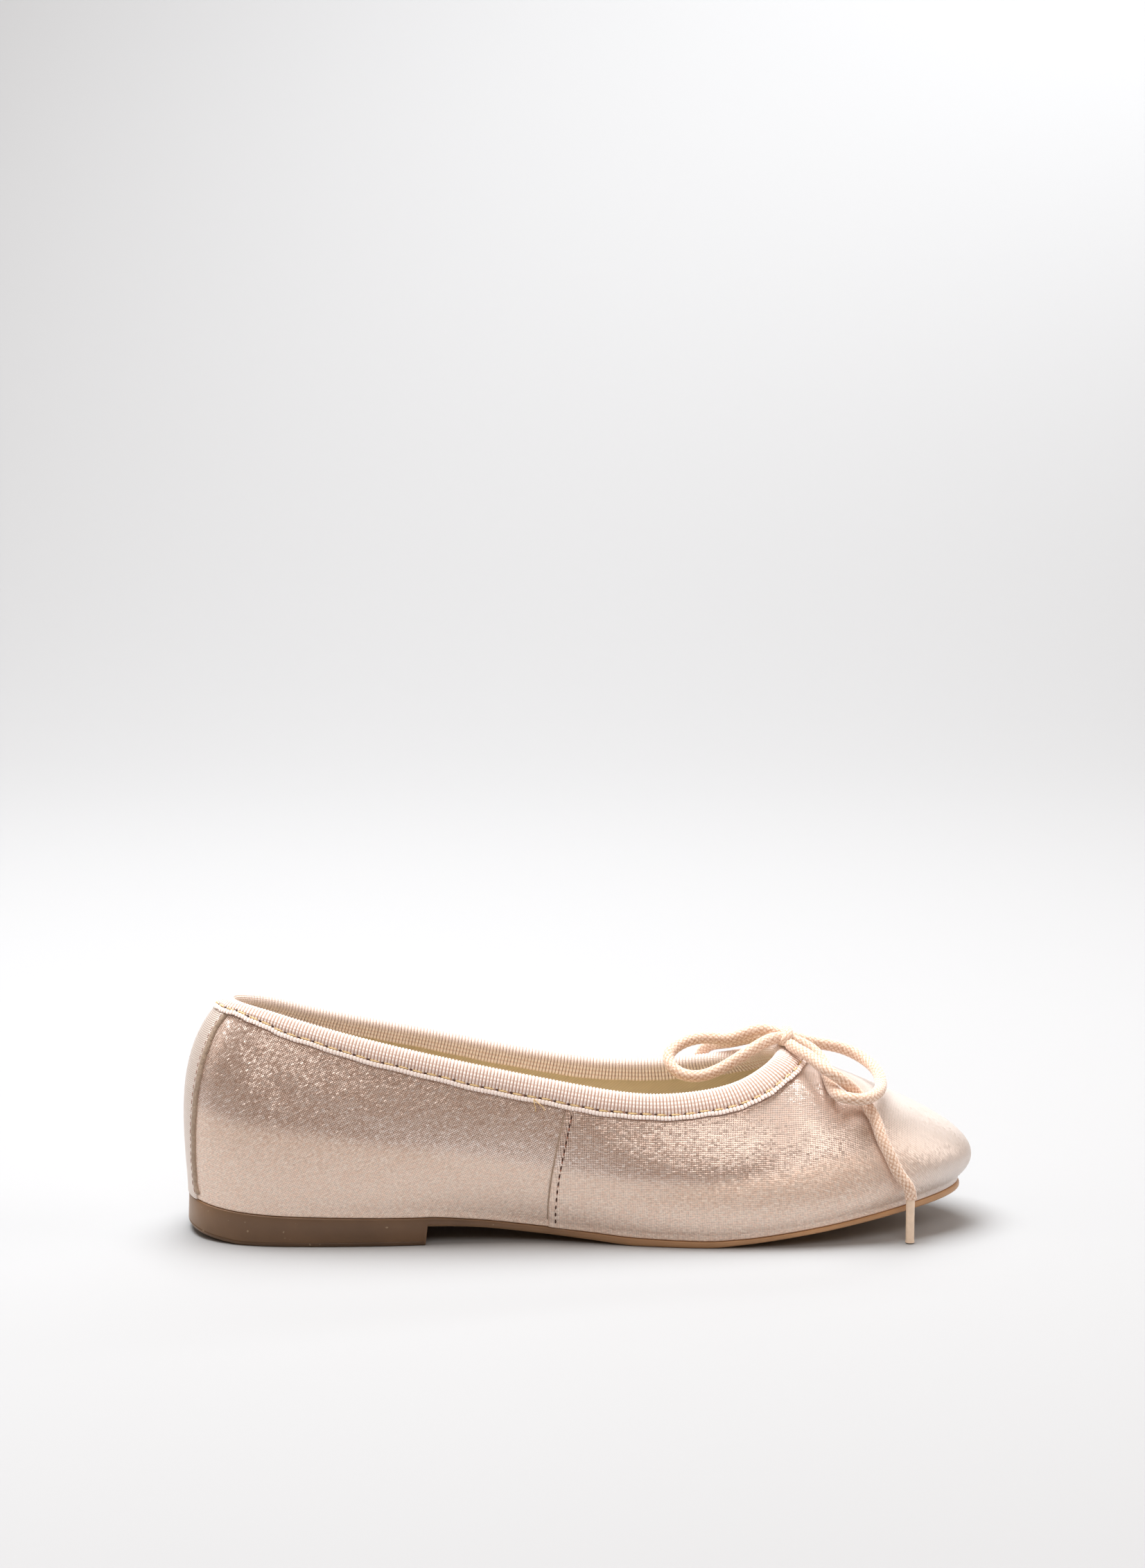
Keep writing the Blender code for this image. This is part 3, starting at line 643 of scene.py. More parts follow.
def mesh_object(name, points, faces, finish, uv=None):
    """A mesh from points in millimetres. uv holds a pair for each point, in millimetres too."""
    mesh = bpy.data.meshes.new(name)
    mesh.from_pydata((np.asarray(points) * MM).tolist(), [], faces)
    if uv is not None:
        layer = mesh.uv_layers.new(name="cloth")
        corners = np.empty(len(mesh.loops), int)
        mesh.loops.foreach_get("vertex_index", corners)
        layer.data.foreach_set("uv", np.asarray(uv)[corners].ravel())
    mesh.materials.append(finish)
    mesh.shade_smooth()
    return new_object(name, mesh)


def grid_faces(rows, columns, rows_closed, columns_closed):
    faces = []
    for r in range(rows if rows_closed else rows - 1):
        low, high = r * columns, (r + 1) % rows * columns
        for c in range(columns if columns_closed else columns - 1):
            d = (c + 1) % columns
            faces.append((low + c, high + c, high + d, low + d))
    return faces


def wall_solid(name, rows, finish, uv=None, closed=False):
    """A solid from rows that go down its outer face and back up its inner one, the same number on each."""
    count, columns = len(rows), len(rows[0])
    faces = grid_faces(count, columns, True, closed)
    if not closed:
        for r in range(count // 2 - 1):
            a, b, c, d = (k * columns for k in (r, r + 1, count - 2 - r, count - 1 - r))
            end = columns - 1
            faces.append((d, c, b, a))
            faces.append((a + end, b + end, c + end, d + end))
    return mesh_object(name, np.concatenate(rows), faces, finish, uv)


def flip_if_inside_out(piece):
    mesh = piece.data
    volume = 0.0
    for face in mesh.polygons:
        a, b, c = (mesh.vertices[i].co for i in face.vertices[:3])
        volume += a.dot(b.cross(c))
    if volume < 0:
        mesh.flip_normals()
    return piece


def dress(piece, slot, *nodes):
    """Rides a finished piece on the one body and hides the CAD parts that it replaces."""
    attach(piece, "root")
    if nodes:
        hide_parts(*nodes)
    return piece


# Geometry Nodes -----------------------------------------------------------------------------------------


def new_tree(name, sizes):
    """A tree with a guide, sizes and a material as inputs."""
    tree = bpy.data.node_groups.new(name, "GeometryNodeTree")
    tree.interface.new_socket("Guide", in_out="INPUT", socket_type="NodeSocketGeometry")
    for size in sizes:
        tree.interface.new_socket(size, in_out="INPUT", socket_type="NodeSocketFloat")
    tree.interface.new_socket("Material", in_out="INPUT", socket_type="NodeSocketMaterial")
    tree.interface.new_socket("Made", in_out="OUTPUT", socket_type="NodeSocketGeometry")
    return tree, add(tree, "NodeGroupInput").outputs


def close_tree(tree, made, material):
    """Ends a tree with smooth, real geometry in one material."""
    smooth = add(tree, "GeometryNodeSetShadeSmooth", {0: made})
    real = add(tree, "GeometryNodeRealizeInstances", {0: smooth})
    painted = add(tree, "GeometryNodeSetMaterial", {0: real, "Material": material})
    add(tree, "NodeGroupOutput", {0: painted.outputs[0]})


def rod_tree():
    """Round rods along the guide's edges."""
    tree, given = new_tree("rods", ["Radius"])
    line = add(tree, "GeometryNodeMeshToCurve", {0: given["Guide"]})
    section = add(tree, "GeometryNodeCurvePrimitiveCircle", {"Resolution": 8, "Radius": given["Radius"]})
    rod = add(tree, "GeometryNodeCurveToMesh", {"Curve": line, "Profile Curve": section, "Fill Caps": True})
    close_tree(tree, rod, given["Material"])
    return tree


def stitch_tree():
    """Beads of one length and width at an even pitch along the guide, lying in its direction."""
    tree, given = new_tree("stitches", ["Start", "Pitch", "Length", "Width"])
    line = add(tree, "GeometryNodeMeshToCurve", {0: given["Guide"]})
    cut = add(tree, "GeometryNodeTrimCurve", {0: line, 4: given["Start"], 5: 10.0}, mode="LENGTH")
    places = add(tree, "GeometryNodeResampleCurve", {0: cut, "Length": given["Pitch"]}, mode="LENGTH")
    along = add(tree, "GeometryNodeInputTangent")
    turn = add(tree, "FunctionNodeAlignRotationToVector", {"Vector": along}, axis="X")
    bead = add(tree, "GeometryNodeMeshUVSphere", {"Segments": 8, "Rings": 6, "Radius": 0.5})
    size = add(tree, "ShaderNodeCombineXYZ", {0: given["Length"], 1: given["Width"], 2: given["Width"]})
    sized = add(tree, "GeometryNodeTransform", {0: bead, "Scale": size})
    put = add(tree, "GeometryNodeInstanceOnPoints", {"Points": places, "Instance": sized, "Rotation": turn})
    close_tree(tree, put, given["Material"])
    return tree


RODS = rod_tree()
STITCHES = stitch_tree()


def grow(name, tree, lines, finish, marks=None, **sizes):
    """Runs a tree on a guide of open lines, given in millimetres, and keeps the result as a plain mesh.
    marks names a number for each point that the material reads. sizes are in millimetres."""
    points = np.concatenate(lines) * MM
    edges = []
    start = 0
    for line in lines:
        edges += [(start + i, start + i + 1) for i in range(len(line) - 1)]
        start += len(line)
    guide = bpy.data.meshes.new(name + "_guide")
    guide.from_pydata(points.tolist(), edges, [])
    for title, values in (marks or {}).items():
        mark(guide, title, values)
    source = new_object(name + "_guide", guide)
    modifier = source.modifiers.new("grow", "NODES")
    modifier.node_group = tree
    for socket in tree.interface.items_tree:
        if socket.in_out == "INPUT" and socket.name in sizes:
            modifier[socket.identifier] = sizes[socket.name] * MM
        if socket.in_out == "INPUT" and socket.name == "Material":
            modifier[socket.identifier] = finish
    ready = source.evaluated_get(bpy.context.evaluated_depsgraph_get())
    mesh = bpy.data.meshes.new_from_object(ready)
    mesh.name = name
    bpy.data.objects.remove(source)
    return new_object(name, mesh)


def stitch_row(name, slot, lines, finish, start, pitch, length, width):
    """Stitches, or dark beads of painted shade for needle holes, along a seam's lines, as a piece of their
    own. start is how far along the first one is, pitch goes from one to the next, and length and width are
    each one's own."""
    dress(grow(name, STITCHES, lines, finish, Start=start, Pitch=pitch, Length=length, Width=width), slot)


# Panels of the upper ------------------------------------------------------------------------------------

PANEL = 0.7  # thickness of a panel with its backing
GRID_STEP = 0.9  # from row to row and from column to column
COUNT = ROUND.count
MM_A_PLACE = 13.0  # about how far it is from one place to the next along the side
HIDDEN_TOP = 0.8  # how far a panel's top is below the wall's, inside the binding
TOE_FROM = 8.0  # place from which the cloth is drawn smooth over the toe
OVERLAP = 0.06  # how far a quarter runs in under the vamp, in places
UNDER_STRIP = 0.12  # and under the back strip
# Share of the wall's height below which the foil is painted lighter, by place: the painted light of the lower
# band.
PAINTED_LIGHT_LINE = ([0.0, 2.0, 5.0, 7.0, 9.0, 11.0], [0.45, 0.5, 0.5, 0.55, 0.6, 0.6])
# Where the panel turns under at its foot: out from the feather line and above the seat, outer then inner.
FOOT_TURN = [(0.05, 0.45), (-0.1, 0.16), (-0.7, 0.04), (-5.0, 0.04)]
FOOT_TURN_INNER = [(-0.7, 1.2), (-0.9, 1.0), (-1.5, 0.75), (-5.0, 0.75)]


def panel_depth(wall, share):
    """Depth at a share of a panel's way down the wall."""
    return HIDDEN_TOP + share * (wall.height - HIDDEN_TOP)


def foot_rows(places, rise):
    """Rows that turn a panel under at its foot, first its outer face and then back along its inner one."""
    outer = [sole_edge(places, out + rise, lift) for out, lift in FOOT_TURN]
    inner = [sole_edge(places, out, lift) for out, lift in FOOT_TURN_INNER]
    return outer + inner[::-1]


def both_faces(flat):
    """Cloth coordinates of a panel's rows: down its face, under its foot and back up its inner face."""
    foot = [flat[-1] - (0.0, k + 1.0) for k in range(len(FOOT_TURN))]
    return np.concatenate([*flat, *foot, *foot[::-1], *flat[::-1]])


def lap_rise(places):
    """How far the vamp stands out where it lies over the quarter, fading away past the lap."""
    past = (side_of(places) - SIDE_SEAM) / LAP_FADE
    return LAP_RISE * (1 - smooth_step(past))


def cloth_map(points, normals, grain):
    """Flat cloth coordinates in millimetres for a grid of points: along the grain and square to it, with the
    misfit of a domed surface spread evenly. It is solved on a thinned grid and stretched back."""
    points, normals = np.asarray(points), np.asarray(normals)
    rows = np.unique(np.linspace(0, points.shape[0] - 1, 22).round().astype(int))
    columns = np.unique(np.linspace(0, points.shape[1] - 1, 56).round().astype(int))
    thin, facing = points[np.ix_(rows, columns)], normals[np.ix_(rows, columns)]
    cross = unit(np.cross(facing, unit(grain(thin))))
    length = unit(np.cross(cross, facing))
    number = np.arange(thin.shape[0] * thin.shape[1]).reshape(thin.shape[:2])
    matrix = np.zeros((number.size, number.size))
    matrix[0, 0] = 1
    wanted = np.zeros((number.size, 2))
    every, on, off = slice(None), slice(1, None), slice(None, -1)
    for a, b in (((off, every), (on, every)), ((every, off), (every, on))):
        step = thin[b] - thin[a]
        along = (step * (length[a] + length[b])).sum(-1) / 2
        over = (step * (cross[a] + cross[b])).sum(-1) / 2
        weight = 1 / np.maximum(np.linalg.norm(step, axis=-1), 0.3).ravel()
        i, j = number[a].ravel(), number[b].ravel()
        gap = np.stack([along.ravel(), over.ravel()], axis=1) * weight[:, None]
        np.add.at(matrix, (i, i), weight)
        np.add.at(matrix, (j, j), weight)
        np.add.at(matrix, (i, j), -weight)
        np.add.at(matrix, (j, i), -weight)
        np.add.at(wanted, j, gap)
        np.add.at(wanted, i, -gap)
    flat = np.linalg.solve(matrix, wanted).reshape(*thin.shape[:2], 2)
    all_rows, all_columns = np.arange(points.shape[0]), np.arange(points.shape[1])
    flat = np.apply_along_axis(lambda line: np.interp(all_rows, rows, line), 0, flat)
    return np.apply_along_axis(lambda line: np.interp(all_columns, columns, line), 1, flat)


def straight_grain(points):
    return np.broadcast_to(X, points.shape)


def vamp_grain(points):
    """Level along the sides, turning down over the toe."""
    dip = -0.35 * smooth_step((points[..., 0] - 45) / 40)
    return X + dip[..., None] * Z


def panel(name, places, finish, proud, grain=straight_grain, edge=0.0):
    """A panel between its first and last place, from under the binding to under the insole's edge. proud
    gives each column's height above the wall, and edge rounds its two upright edges over."""
    wall = Wall(places)
    shares = np.linspace(0, 1, int(wall.height.max() / GRID_STEP))
    rise = np.array(proud)
    for end, drop in ((0, 1.0), (1, 0.45), (2, 0.1), (-1, 1.0), (-2, 0.45), (-3, 0.1)):
        rise[end] -= drop * edge
    depths = [panel_depth(wall, share) for share in shares]
    outer = [wall.below(depth, rise + relief(places, depth)) for depth in depths]
    normals = [wall.normal(depth) for depth in depths]
    inner = [wall.below(depth, proud - PANEL) for depth in depths]
    rows = outer + foot_rows(places, rise) + inner[::-1]
    piece = wall_solid(name, rows, finish, both_faces(cloth_map(outer, normals, grain)))
    # Painted light: each point's open share, low on the lower band and at the toe.
    seen = [painted_light_openness(places, depth, wall.height) for depth in depths]
    unseen = [np.full(len(places), 0.2)] * (len(rows) - len(seen))
    mark(piece.data, "open_painted_light", seen + unseen)
    mark(piece.data, "toe", [smooth_step((side_of(places) - TOE_FROM) / 1.5)] * len(rows))
    return piece


def painted_light_openness(places, depth, height):
    """How open the cloth's dark pinholes are drawn: less lower on the wall, towards the feather line, and at
    the toe. This is a painted light that makes the lower band lighter.
    """
    near = side_of(places)
    painted_lower_band = smooth_step((depth / height - np.interp(near, *PAINTED_LIGHT_LINE)) / 0.12)
    at_toe = smooth_step((near - TOE_FROM) / 2.0)
    return (1 - 0.62 * painted_lower_band) * (1 - 0.7 * at_toe)


Crease = namedtuple("Crease", "place depth length width turn height")
CREASES = [
    # On the quarter: a hollow before the strip, then soft folds that fan down from the collar.
    Crease(1.75, 26.0, 17.0, 3.6, 84, -0.22),
    Crease(1.35, 24.0, 16.0, 2.0, 84, 0.10),
    Crease(2.6, 15.0, 11.0, 3.4, 40, -0.10),
    Crease(3.3, 14.0, 9.0, 3.2, 25, 0.08),
    Crease(3.7, 20.0, 12.0, 3.4, 20, -0.10),
    Crease(2.5, 30.0, 12.0, 4.0, -15, 0.12),
    Crease(2.2, 42.0, 9.0, 3.0, 5, -0.10),
    # On the vamp: the break above the feather line, and faint pulls from the throat.
    Crease(6.2, 23.0, 22.0, 2.8, -3, -0.22),
    Crease(5.7, 14.0, 7.0, 2.6, 35, 0.10),
    Crease(7.3, 15.0, 8.0, 2.6, -30, 0.08),
    Crease(8.3, 19.0, 8.0, 2.6, -55, 0.06),
]


def relief(places, depth):
    """Soft creases and hollows of the lasted cloth, in millimetres. A crease's place is on the medial side;
    the lateral side has the same ones a little weaker."""
    height = np.zeros(len(places))
    near, strength = side_of(places), np.where(places % COUNT > TOE, 0.8, 1.0)
    for crease in CREASES:
        across = (near - crease.place) * MM_A_PLACE
        down = depth - crease.depth
        turn = math.radians(crease.turn)
        along = across * math.cos(turn) + down * math.sin(turn)
        off = down * math.cos(turn) - across * math.sin(turn)
        height += crease.height * np.exp(-((along / crease.length) ** 2) - (off / crease.width) ** 2)
    # The cloth is held flat under the binding and at the feather line.
    clear_of_edges = smooth_step((depth - 3.0) / 4.0) * smooth_step((Wall(places).height - depth) / 5.0)
    return height * clear_of_edges * strength


def edge_places(start, end, step):
    """Even places with three close ones at each end, for rounded edges."""
    inner = even_places(start, end, step)
    per_mm = (inner[1] - inner[0]) / step
    near = np.array([0.0, 0.12, 0.3]) * per_mm
    return np.concatenate([start + near, inner[1:-1], end - near[::-1]])


def make_quarter(name, start, end):
    places = even_places(start, end, GRID_STEP)
    piece = panel(name, places, FOIL_QUARTER, np.zeros(len(places)))
    return dress(piece, "upper", "upper")


def make_vamp():
    places = edge_places(SIDE_SEAM, COUNT - SIDE_SEAM, GRID_STEP)
    piece = panel("vamp", places, FOIL_VAMP, lap_rise(places), grain=vamp_grain, edge=0.35)
    return dress(piece, "upper", "upper")


STRIP_BAND = 1.25  # width of the strip's raw edge
BAND_DRAWN = 0.9  # the width that its section is drawn for
FRAY = 0.045  # how far a point of the raw edge lies off its place at most
STRIP_ROWS = 90


def strip_seam(share):
    """Place of the strip's edge at a share of the wall's height, wider at the collar and the feather line."""
    at_collar = 0.22 * math.exp(-share / 0.05)
    at_foot = 0.1 * smooth_step((share - 0.93) / 0.07)
    return 0.95 + at_collar + at_foot + 0.007 * math.sin(37 * share) + 0.003 * math.sin(90 * share + 1)


def strip_rows(offsets, heights, side, first=0.0, last=1.0):
    """Rows of points down the strip's edge. offsets are millimetres from the edge towards the toe."""
    per_mm = side / Wall([side * STRIP_EDGE]).spacing(20.0)[0]
    rows = []
    for share in np.linspace(first, last, STRIP_ROWS):
        places = side * strip_seam(share) + np.asarray(offsets) * per_mm
        wall = Wall(places)
        rows.append(wall.below(panel_depth(wall, share), heights))
    return rows


def make_back_strip():
    """The strip over the heel's seam, with its edges rounded off, down to the raw edge at each side."""
    shape = [(-STRIP_BAND, 0.2), (-STRIP_BAND - 0.12, 0.45), (-STRIP_BAND - 0.4, 0.58)]
    edge_rise = [height for _, height in shape]
    per_mm = 1 / Wall([STRIP_EDGE]).spacing(20.0)[0]
    rows, inner = [], []
    for share in np.linspace(0, 1, STRIP_ROWS):
        edge = [strip_seam(share) + per_mm * out for out, _ in shape]
        middle = np.linspace(-edge[-1], edge[-1], 28)[1:-1]
        places = np.array([-place for place in edge] + list(middle) + edge[::-1])
        rise = np.array(edge_rise + [STRIP_RISE] * len(middle) + edge_rise[::-1])
        wall = Wall(places)
        rows.append(wall.below(panel_depth(wall, share), rise))
        inner.append(wall.below(panel_depth(wall, share), -0.1))
    down = lengths_along(np.array(rows)[:, len(places) // 2 - 2])
    across = lengths_along(rows[40])  # the strip's width, as it is about halfway down
    flat = [np.stack([across, np.full(len(across), -length)], axis=1) for length in down]
    rows += foot_rows(places, rise)
    piece = wall_solid("back_strip", rows + inner[::-1], FOIL_STRIP, both_faces(flat))
    return dress(flip_if_inside_out(piece), "upper", "upper")


def make_strip_band(name, side):
    """The strip's raw edge, a frayed slope from the strip's face down to the quarter."""
    offsets = np.array([0.08, 0.02, -0.3, -0.6, -0.9, -1.15]) * STRIP_BAND / BAND_DRAWN
    heights = np.array([0.02, 0.34, 0.5, 0.6, 0.64, 0.45])
    rng = np.random.default_rng(7)
    rows = strip_rows(offsets, heights, side, 0.0, 0.995)
    rows = [row + rng.uniform(-FRAY, FRAY, (len(offsets), 1)) * (1, side, 0.3) for row in rows]
    inner = strip_rows(offsets, -0.2, side, 0.0, 0.995)
    piece = wall_solid(name, rows + inner[::-1], RAW_EDGE)
    return dress(flip_if_inside_out(piece), "upper", "upper")


def make_lining():
    places = even_places(0, COUNT, 1.2)[:-1]
    wall = Wall(places)
    top, bottom = 1.0, wall.height - 1.6
    depths = [top + share * (bottom - top) for share in np.linspace(0, 1, 50)]
    outer = [wall.below(depth, -PANEL - 0.1) for depth in depths]
    inner = [wall.below(depth, -WALL) for depth in depths]
    normals = np.array([wall.normal(depth) for depth in depths])
    flat = cloth_map(inner, normals, straight_grain)
    uv = np.concatenate([*flat, *flat[::-1]])
    piece = wall_solid("lining", outer + inner[::-1], LINING, uv, closed=True)
    return dress(piece, "upper", "upper")


# Binding ------------------------------------------------------------------------------------------------

RIB_PITCH = 0.85
RIB_RADIUS = 0.37
RIB_SINK = 0.22
SELVEDGE = 1.3
TAIL = 4.75  # place of the seam's loose thread end
SELVEDGE_RADIUS = 0.46
SEAM_PITCH = 3.6  # from stitch to stitch
FACE = WALL / 2 + 0.9  # the ribbon's face from the wall's middle, without its ribs
RIBBON_BACK = 0.95  # and its back


def binding_line(places, samples=9):
    """Depth and distance from the wall's middle along the ribbon's face, from its outer edge over the fold
    to its inner edge, with a puff over the cord in its fold and a groove along the seam."""
    tape = tape_depth(places)
    line = []
    for share in np.linspace(0, 1, samples):
        depth = tape * (1 - share)
        seam = np.exp(-(((depth - (tape - SELVEDGE)) / 0.45) ** 2))
        puff = np.sin(np.clip(depth / (tape - SELVEDGE), 0, 1) * math.pi)
        line.append((depth, FACE + 0.22 * puff - 0.22 * seam))
    # At the heel the fold stands a little higher.
    heel = 1 - smooth_step(side_of(places) / 2.6)
    for angle in np.linspace(0, math.pi, 8)[1:-1]:
        line.append((-(FACE + heel) * math.sin(angle), np.full(len(places), FACE * math.cos(angle))))
    for share in np.linspace(0, 1, 6):
        line.append((inside_depth(places) * share, np.full(len(places), -FACE)))
    return line


def make_binding():
    places = even_places(0, COUNT, GRID_STEP, depths=(0.0,))[:-1]
    wall = Wall(places)
    face = binding_line(places, 14)
    outer = [wall.below(depth, across - WALL / 2) for depth, across in face]
    back = [wall.below(depth, across * RIBBON_BACK / FACE - WALL / 2) for depth, across in face]
    piece = wall_solid("binding_ribbon", outer + back[::-1], RIBBON_GROUND_SHADE, closed=True)
    return dress(flip_if_inside_out(piece), "binding", "topline_binding")


def make_ribs():
    """The ribs of the ribbon, square to its edges, and the closer, thicker ones of its selvedge."""
    places = even_places(0, COUNT, RIB_PITCH, depths=(0.0,))[:-1]
    wall = Wall(places)
    tape = tape_depth(places)
    face = binding_line(places)
    face[0] = (tape - SELVEDGE + 0.1, FACE - 0.2)
    lines = np.stack([wall.below(d, a - RIB_SINK - WALL / 2) for d, a in face[:1] + face[2:]], axis=1)
    marks = {"down": [lengths_along(lines[0])] * len(lines)}
    ribs = grow("binding_ribs", RODS, list(lines), RIB, marks=marks, Radius=RIB_RADIUS)
    dress(ribs, "binding", "topline_binding")
    edge = [
        (tape - SELVEDGE + 0.35, FACE + 0.02),
        (tape - SELVEDGE / 2, FACE + 0.1),
        (tape - 0.05, FACE - 0.05),
    ]
    lines = np.stack([wall.below(d, a - RIB_SINK - WALL / 2) for d, a in edge], axis=1)
    marks = {"down": [np.array([0.0, 0.1, 0.2])] * len(lines)}
    selvedge = grow("binding_selvedge", RODS, list(lines), RIB, marks=marks, Radius=SELVEDGE_RADIUS)
    dress(selvedge, "binding", "topline_binding")


def make_binding_seam():
    places = even_places(0, COUNT, 0.6, depths=(0.0,))
    wall = Wall(places)
    line = wall.below(tape_depth(places) - SELVEDGE, FACE - WALL / 2 + 0.02)
    stitch_row("binding_thread", "binding", [line], THREAD, 1.8, SEAM_PITCH, 2.9, 0.42)
    # Painted shade: dark beads stand in for the shade in the needle holes.
    stitch_row("binding_needle_hole_shade", "binding", [line], NEEDLE_HOLE_SHADE, 0.0, SEAM_PITCH, 0.95, 0.38)
    # The same seam inside, where the under thread shows as short dashes beside the ribbon's edge.
    line = wall.below(inside_depth(places) - 0.9, -FACE - WALL / 2 - 0.02)
    stitch_row("binding_under_thread", "binding", [line], SEAM_THREAD, 0.4, SEAM_PITCH, 1.5, 0.34)
    # A thread end left hanging where the seam was finished.
    tails = []
    for reach, drop in ((0.5, 3.0), (1.6, 2.4)):
        along = TAIL + np.array([0.0, 0.02, 0.05, 0.06]) * reach
        depth = tape_depth(along) - 0.9 + np.array([0.0, 0.35, 0.7, 1.0]) * drop
        tails.append(Wall(along).below(depth, FACE - WALL / 2 + np.array([0.1, 0.5, 0.4, 0.1])))
    dress(grow("thread_tail", RODS, tails, THREAD, Radius=0.11), "binding")


# Seams --------------------------------------------------------------------------------------------------

LAP_PITCH = 2.05  # from stitch to stitch
STRIP_PITCH = 1.9


def seam_line(edge, offset, side, proud):
    """A line down the wall at a distance from a seam's place, towards the toe where offset is positive."""
    depths = np.arange(6.0, 60.0, 0.8)
    probe = Wall([side * edge])
    line = []
    for depth in depths[depths <= probe.height[0] - 0.3]:
        beside = side * edge + side * offset / probe.spacing(depth)[0]
        line.append(Wall([beside]).below(depth, proud)[0])
    return np.array(line)


def make_lap_stitches():
    """The lap's row of stitches over dark beads of painted shade for its needle holes, and the vamp's cut
    edge, a rod that is partly painted shade of the gap under the lap.
    """
    lines = [seam_line(SIDE_SEAM, 2.1, side, LAP_RISE) for side in (1, -1)]
    # Painted shade: dark beads stand in for the shade in the needle holes.
    stitch_row("lap_needle_hole_shade", "upper", lines, NEEDLE_HOLE_SHADE, 0.6, LAP_PITCH, 1.3, 0.42)
    stitch_row("lap_stitches", "upper", lines, SEAM_THREAD, 1.55, LAP_PITCH, 1.0, 0.36)
    # The vamp's raw cut edge, a rod that also stands in for the shade in the gap under the lap: partly
    # painted shade.
    edges = [seam_line(SIDE_SEAM, -0.05, side, 0.16) for side in (1, -1)]
    dress(grow("lap_cut_edge_and_shade", RODS, edges, RAW_EDGE, Radius=0.2), "upper")


def make_strip_stitches():
    lines = []
    for side in (1, -1):
        rows = strip_rows([-STRIP_BAND - 0.5], [STRIP_RISE], side, 0.04, 0.98)
        lines.append(np.concatenate(rows))
    stitch_row("strip_stitches", "upper", lines, SEAM_THREAD, 0.4, STRIP_PITCH, 1.3, 0.18)


# Sole and sock ------------------------------------------------------------------------------------------


def paired_places(stations):
    """Places round the shoe for the ring that a plate needs, from stations between its two tips."""
    fine = np.linspace(0, TOE, 4001)
    medial = np.interp(stations, ROUND.at(fine)[:, 0], fine)
    lateral = np.interp(stations, ROUND.at(-fine)[:, 0], fine)
    return np.concatenate([[0], medial, [TOE], -lateral[::-1]])


def spaced_stations(count, extra=()):
    first, final = PROFILES[0].foot_at, PROFILES[-1].foot_at
    turn = np.linspace(0, math.pi, count + 2)[1:-1]
    spread = first + (final - first) * (1 - np.cos(turn)) / 2
    clear = [s for s in spread if all(abs(s - e) > 0.4 for e in extra)]
    return np.array(sorted([*clear, *extra]))


def plate(name, rings, finish):
    """A plate from rings listed top to bottom, with strips across that close its two faces."""
    size = len(rings[0])
    last = (len(rings) - 1) * size
    faces = grid_faces(len(rings), size, False, True)
    for k in range(size // 2):
        strip = [k, k + 1, (size - k - 1) % size, (size - k) % size]
        top = list(dict.fromkeys(strip))
        faces.append(tuple(top))
        faces.append(tuple(last + i for i in reversed(top)))
    return mesh_object(name, np.concatenate(rings), faces, finish)


HEEL_LIFT = 1.15  # thickness of the heel's lowest layer
GROOVE = 0.12  # depth of the groove above it
TOP_ROUND = 0.3  # radius of the rounded upper edge


def make_outsole():
    """The sole and its heel block in one, with stations where the underside turns level or steps."""
    flat = [r.at for r in SOLE if r.under == 0.0] + [HEEL_BREAST + BREAST_SLOPE]
    places = paired_places(spaced_stations(300, flat))
    foot = foot_line(places)
    at = foot[:, 0] + LENGTH / 2
    seat, under = seat_height(at), under_height(at)
    thick = seat - under
    flare = SOLE_LIP + HEEL_FLARE * thick
    bevel = np.minimum(SOLE_BEVEL, 0.4 * thick)
    top_round = np.minimum(TOP_ROUND, 0.2 * thick)
    # The heel's lift is a separate layer under a fine groove. Its rings are marked so that the rubber is
    # painted darker there, a painted shade on the heel's bottom edge.
    at_heel = at < HEEL_BREAST
    lift = np.maximum(np.where(at_heel, HEEL_LIFT, 0.45 * thick), bevel + 0.2)
    groove = np.where(at_heel, GROOVE, 0.0)
    rings = [(-2.0, seat), (SOLE_LIP - top_round, seat)]
    for angle in np.radians([30, 60, 90]):
        out = SOLE_LIP - top_round * (1 - math.sin(angle))
        rings.append((out, seat - top_round * (1 - math.cos(angle))))
    above = len(rings)
    for height, depth in ((0.16, 0.0), (0.04, 1.0), (-0.04, 1.0), (-0.16, 0.0)):
        rings.append((flare - groove * depth, under + lift + height))
    for angle in np.radians([0, 22, 45, 68, 90]):
        rings.append((flare - bevel * (1 - math.cos(angle)), under + bevel * (1 - math.sin(angle))))
    rings.append((flare - bevel - 1.5, under))
    lines = []
    for out, height in rings:
        line = sole_edge(places, out, 0.0)
        line[:, 2] = height
        lines.append(line)
    piece = plate("sole_unit", lines, RUBBER)
    mark(piece.data, "painted_lift_shade", [(k > above + 1) * at_heel for k in range(len(lines))])
    piece.data.set_sharp_from_angle(angle=math.radians(50))
    return dress(piece, "sole", "outsole")


def make_sock():
    """The sock on its board: a little dished, with a rolled edge."""
    places = paired_places(spaced_stations(160))
    rise = WALL + 2 * GAP
    section = [(6.0, 1.5), (4.0, 1.62), (3.0, 1.8), (2.5, 1.75), (2.15, 1.5), (2.1, 1.0), (2.1, 0.0)]
    rings = [sole_edge(places, -inset, rise + lift) for inset, lift in section]
    return dress(plate("sock", rings, SOCK), "sock", "insole")


# Cord ---------------------------------------------------------------------------------------------------


def frames_along(points):
    """Two directions square to a line and to each other, turning as little as they can along it."""
    tangents = unit(np.gradient(points, axis=0))
    side = unit(np.cross(tangents[0], Z if abs(tangents[0][2]) < 0.9 else X))
    sides = [side]
    for tangent in tangents[1:]:
        side = unit(side - tangent * side.dot(tangent))
        sides.append(side)
    sides = np.array(sides)
    return sides, np.cross(tangents, sides)


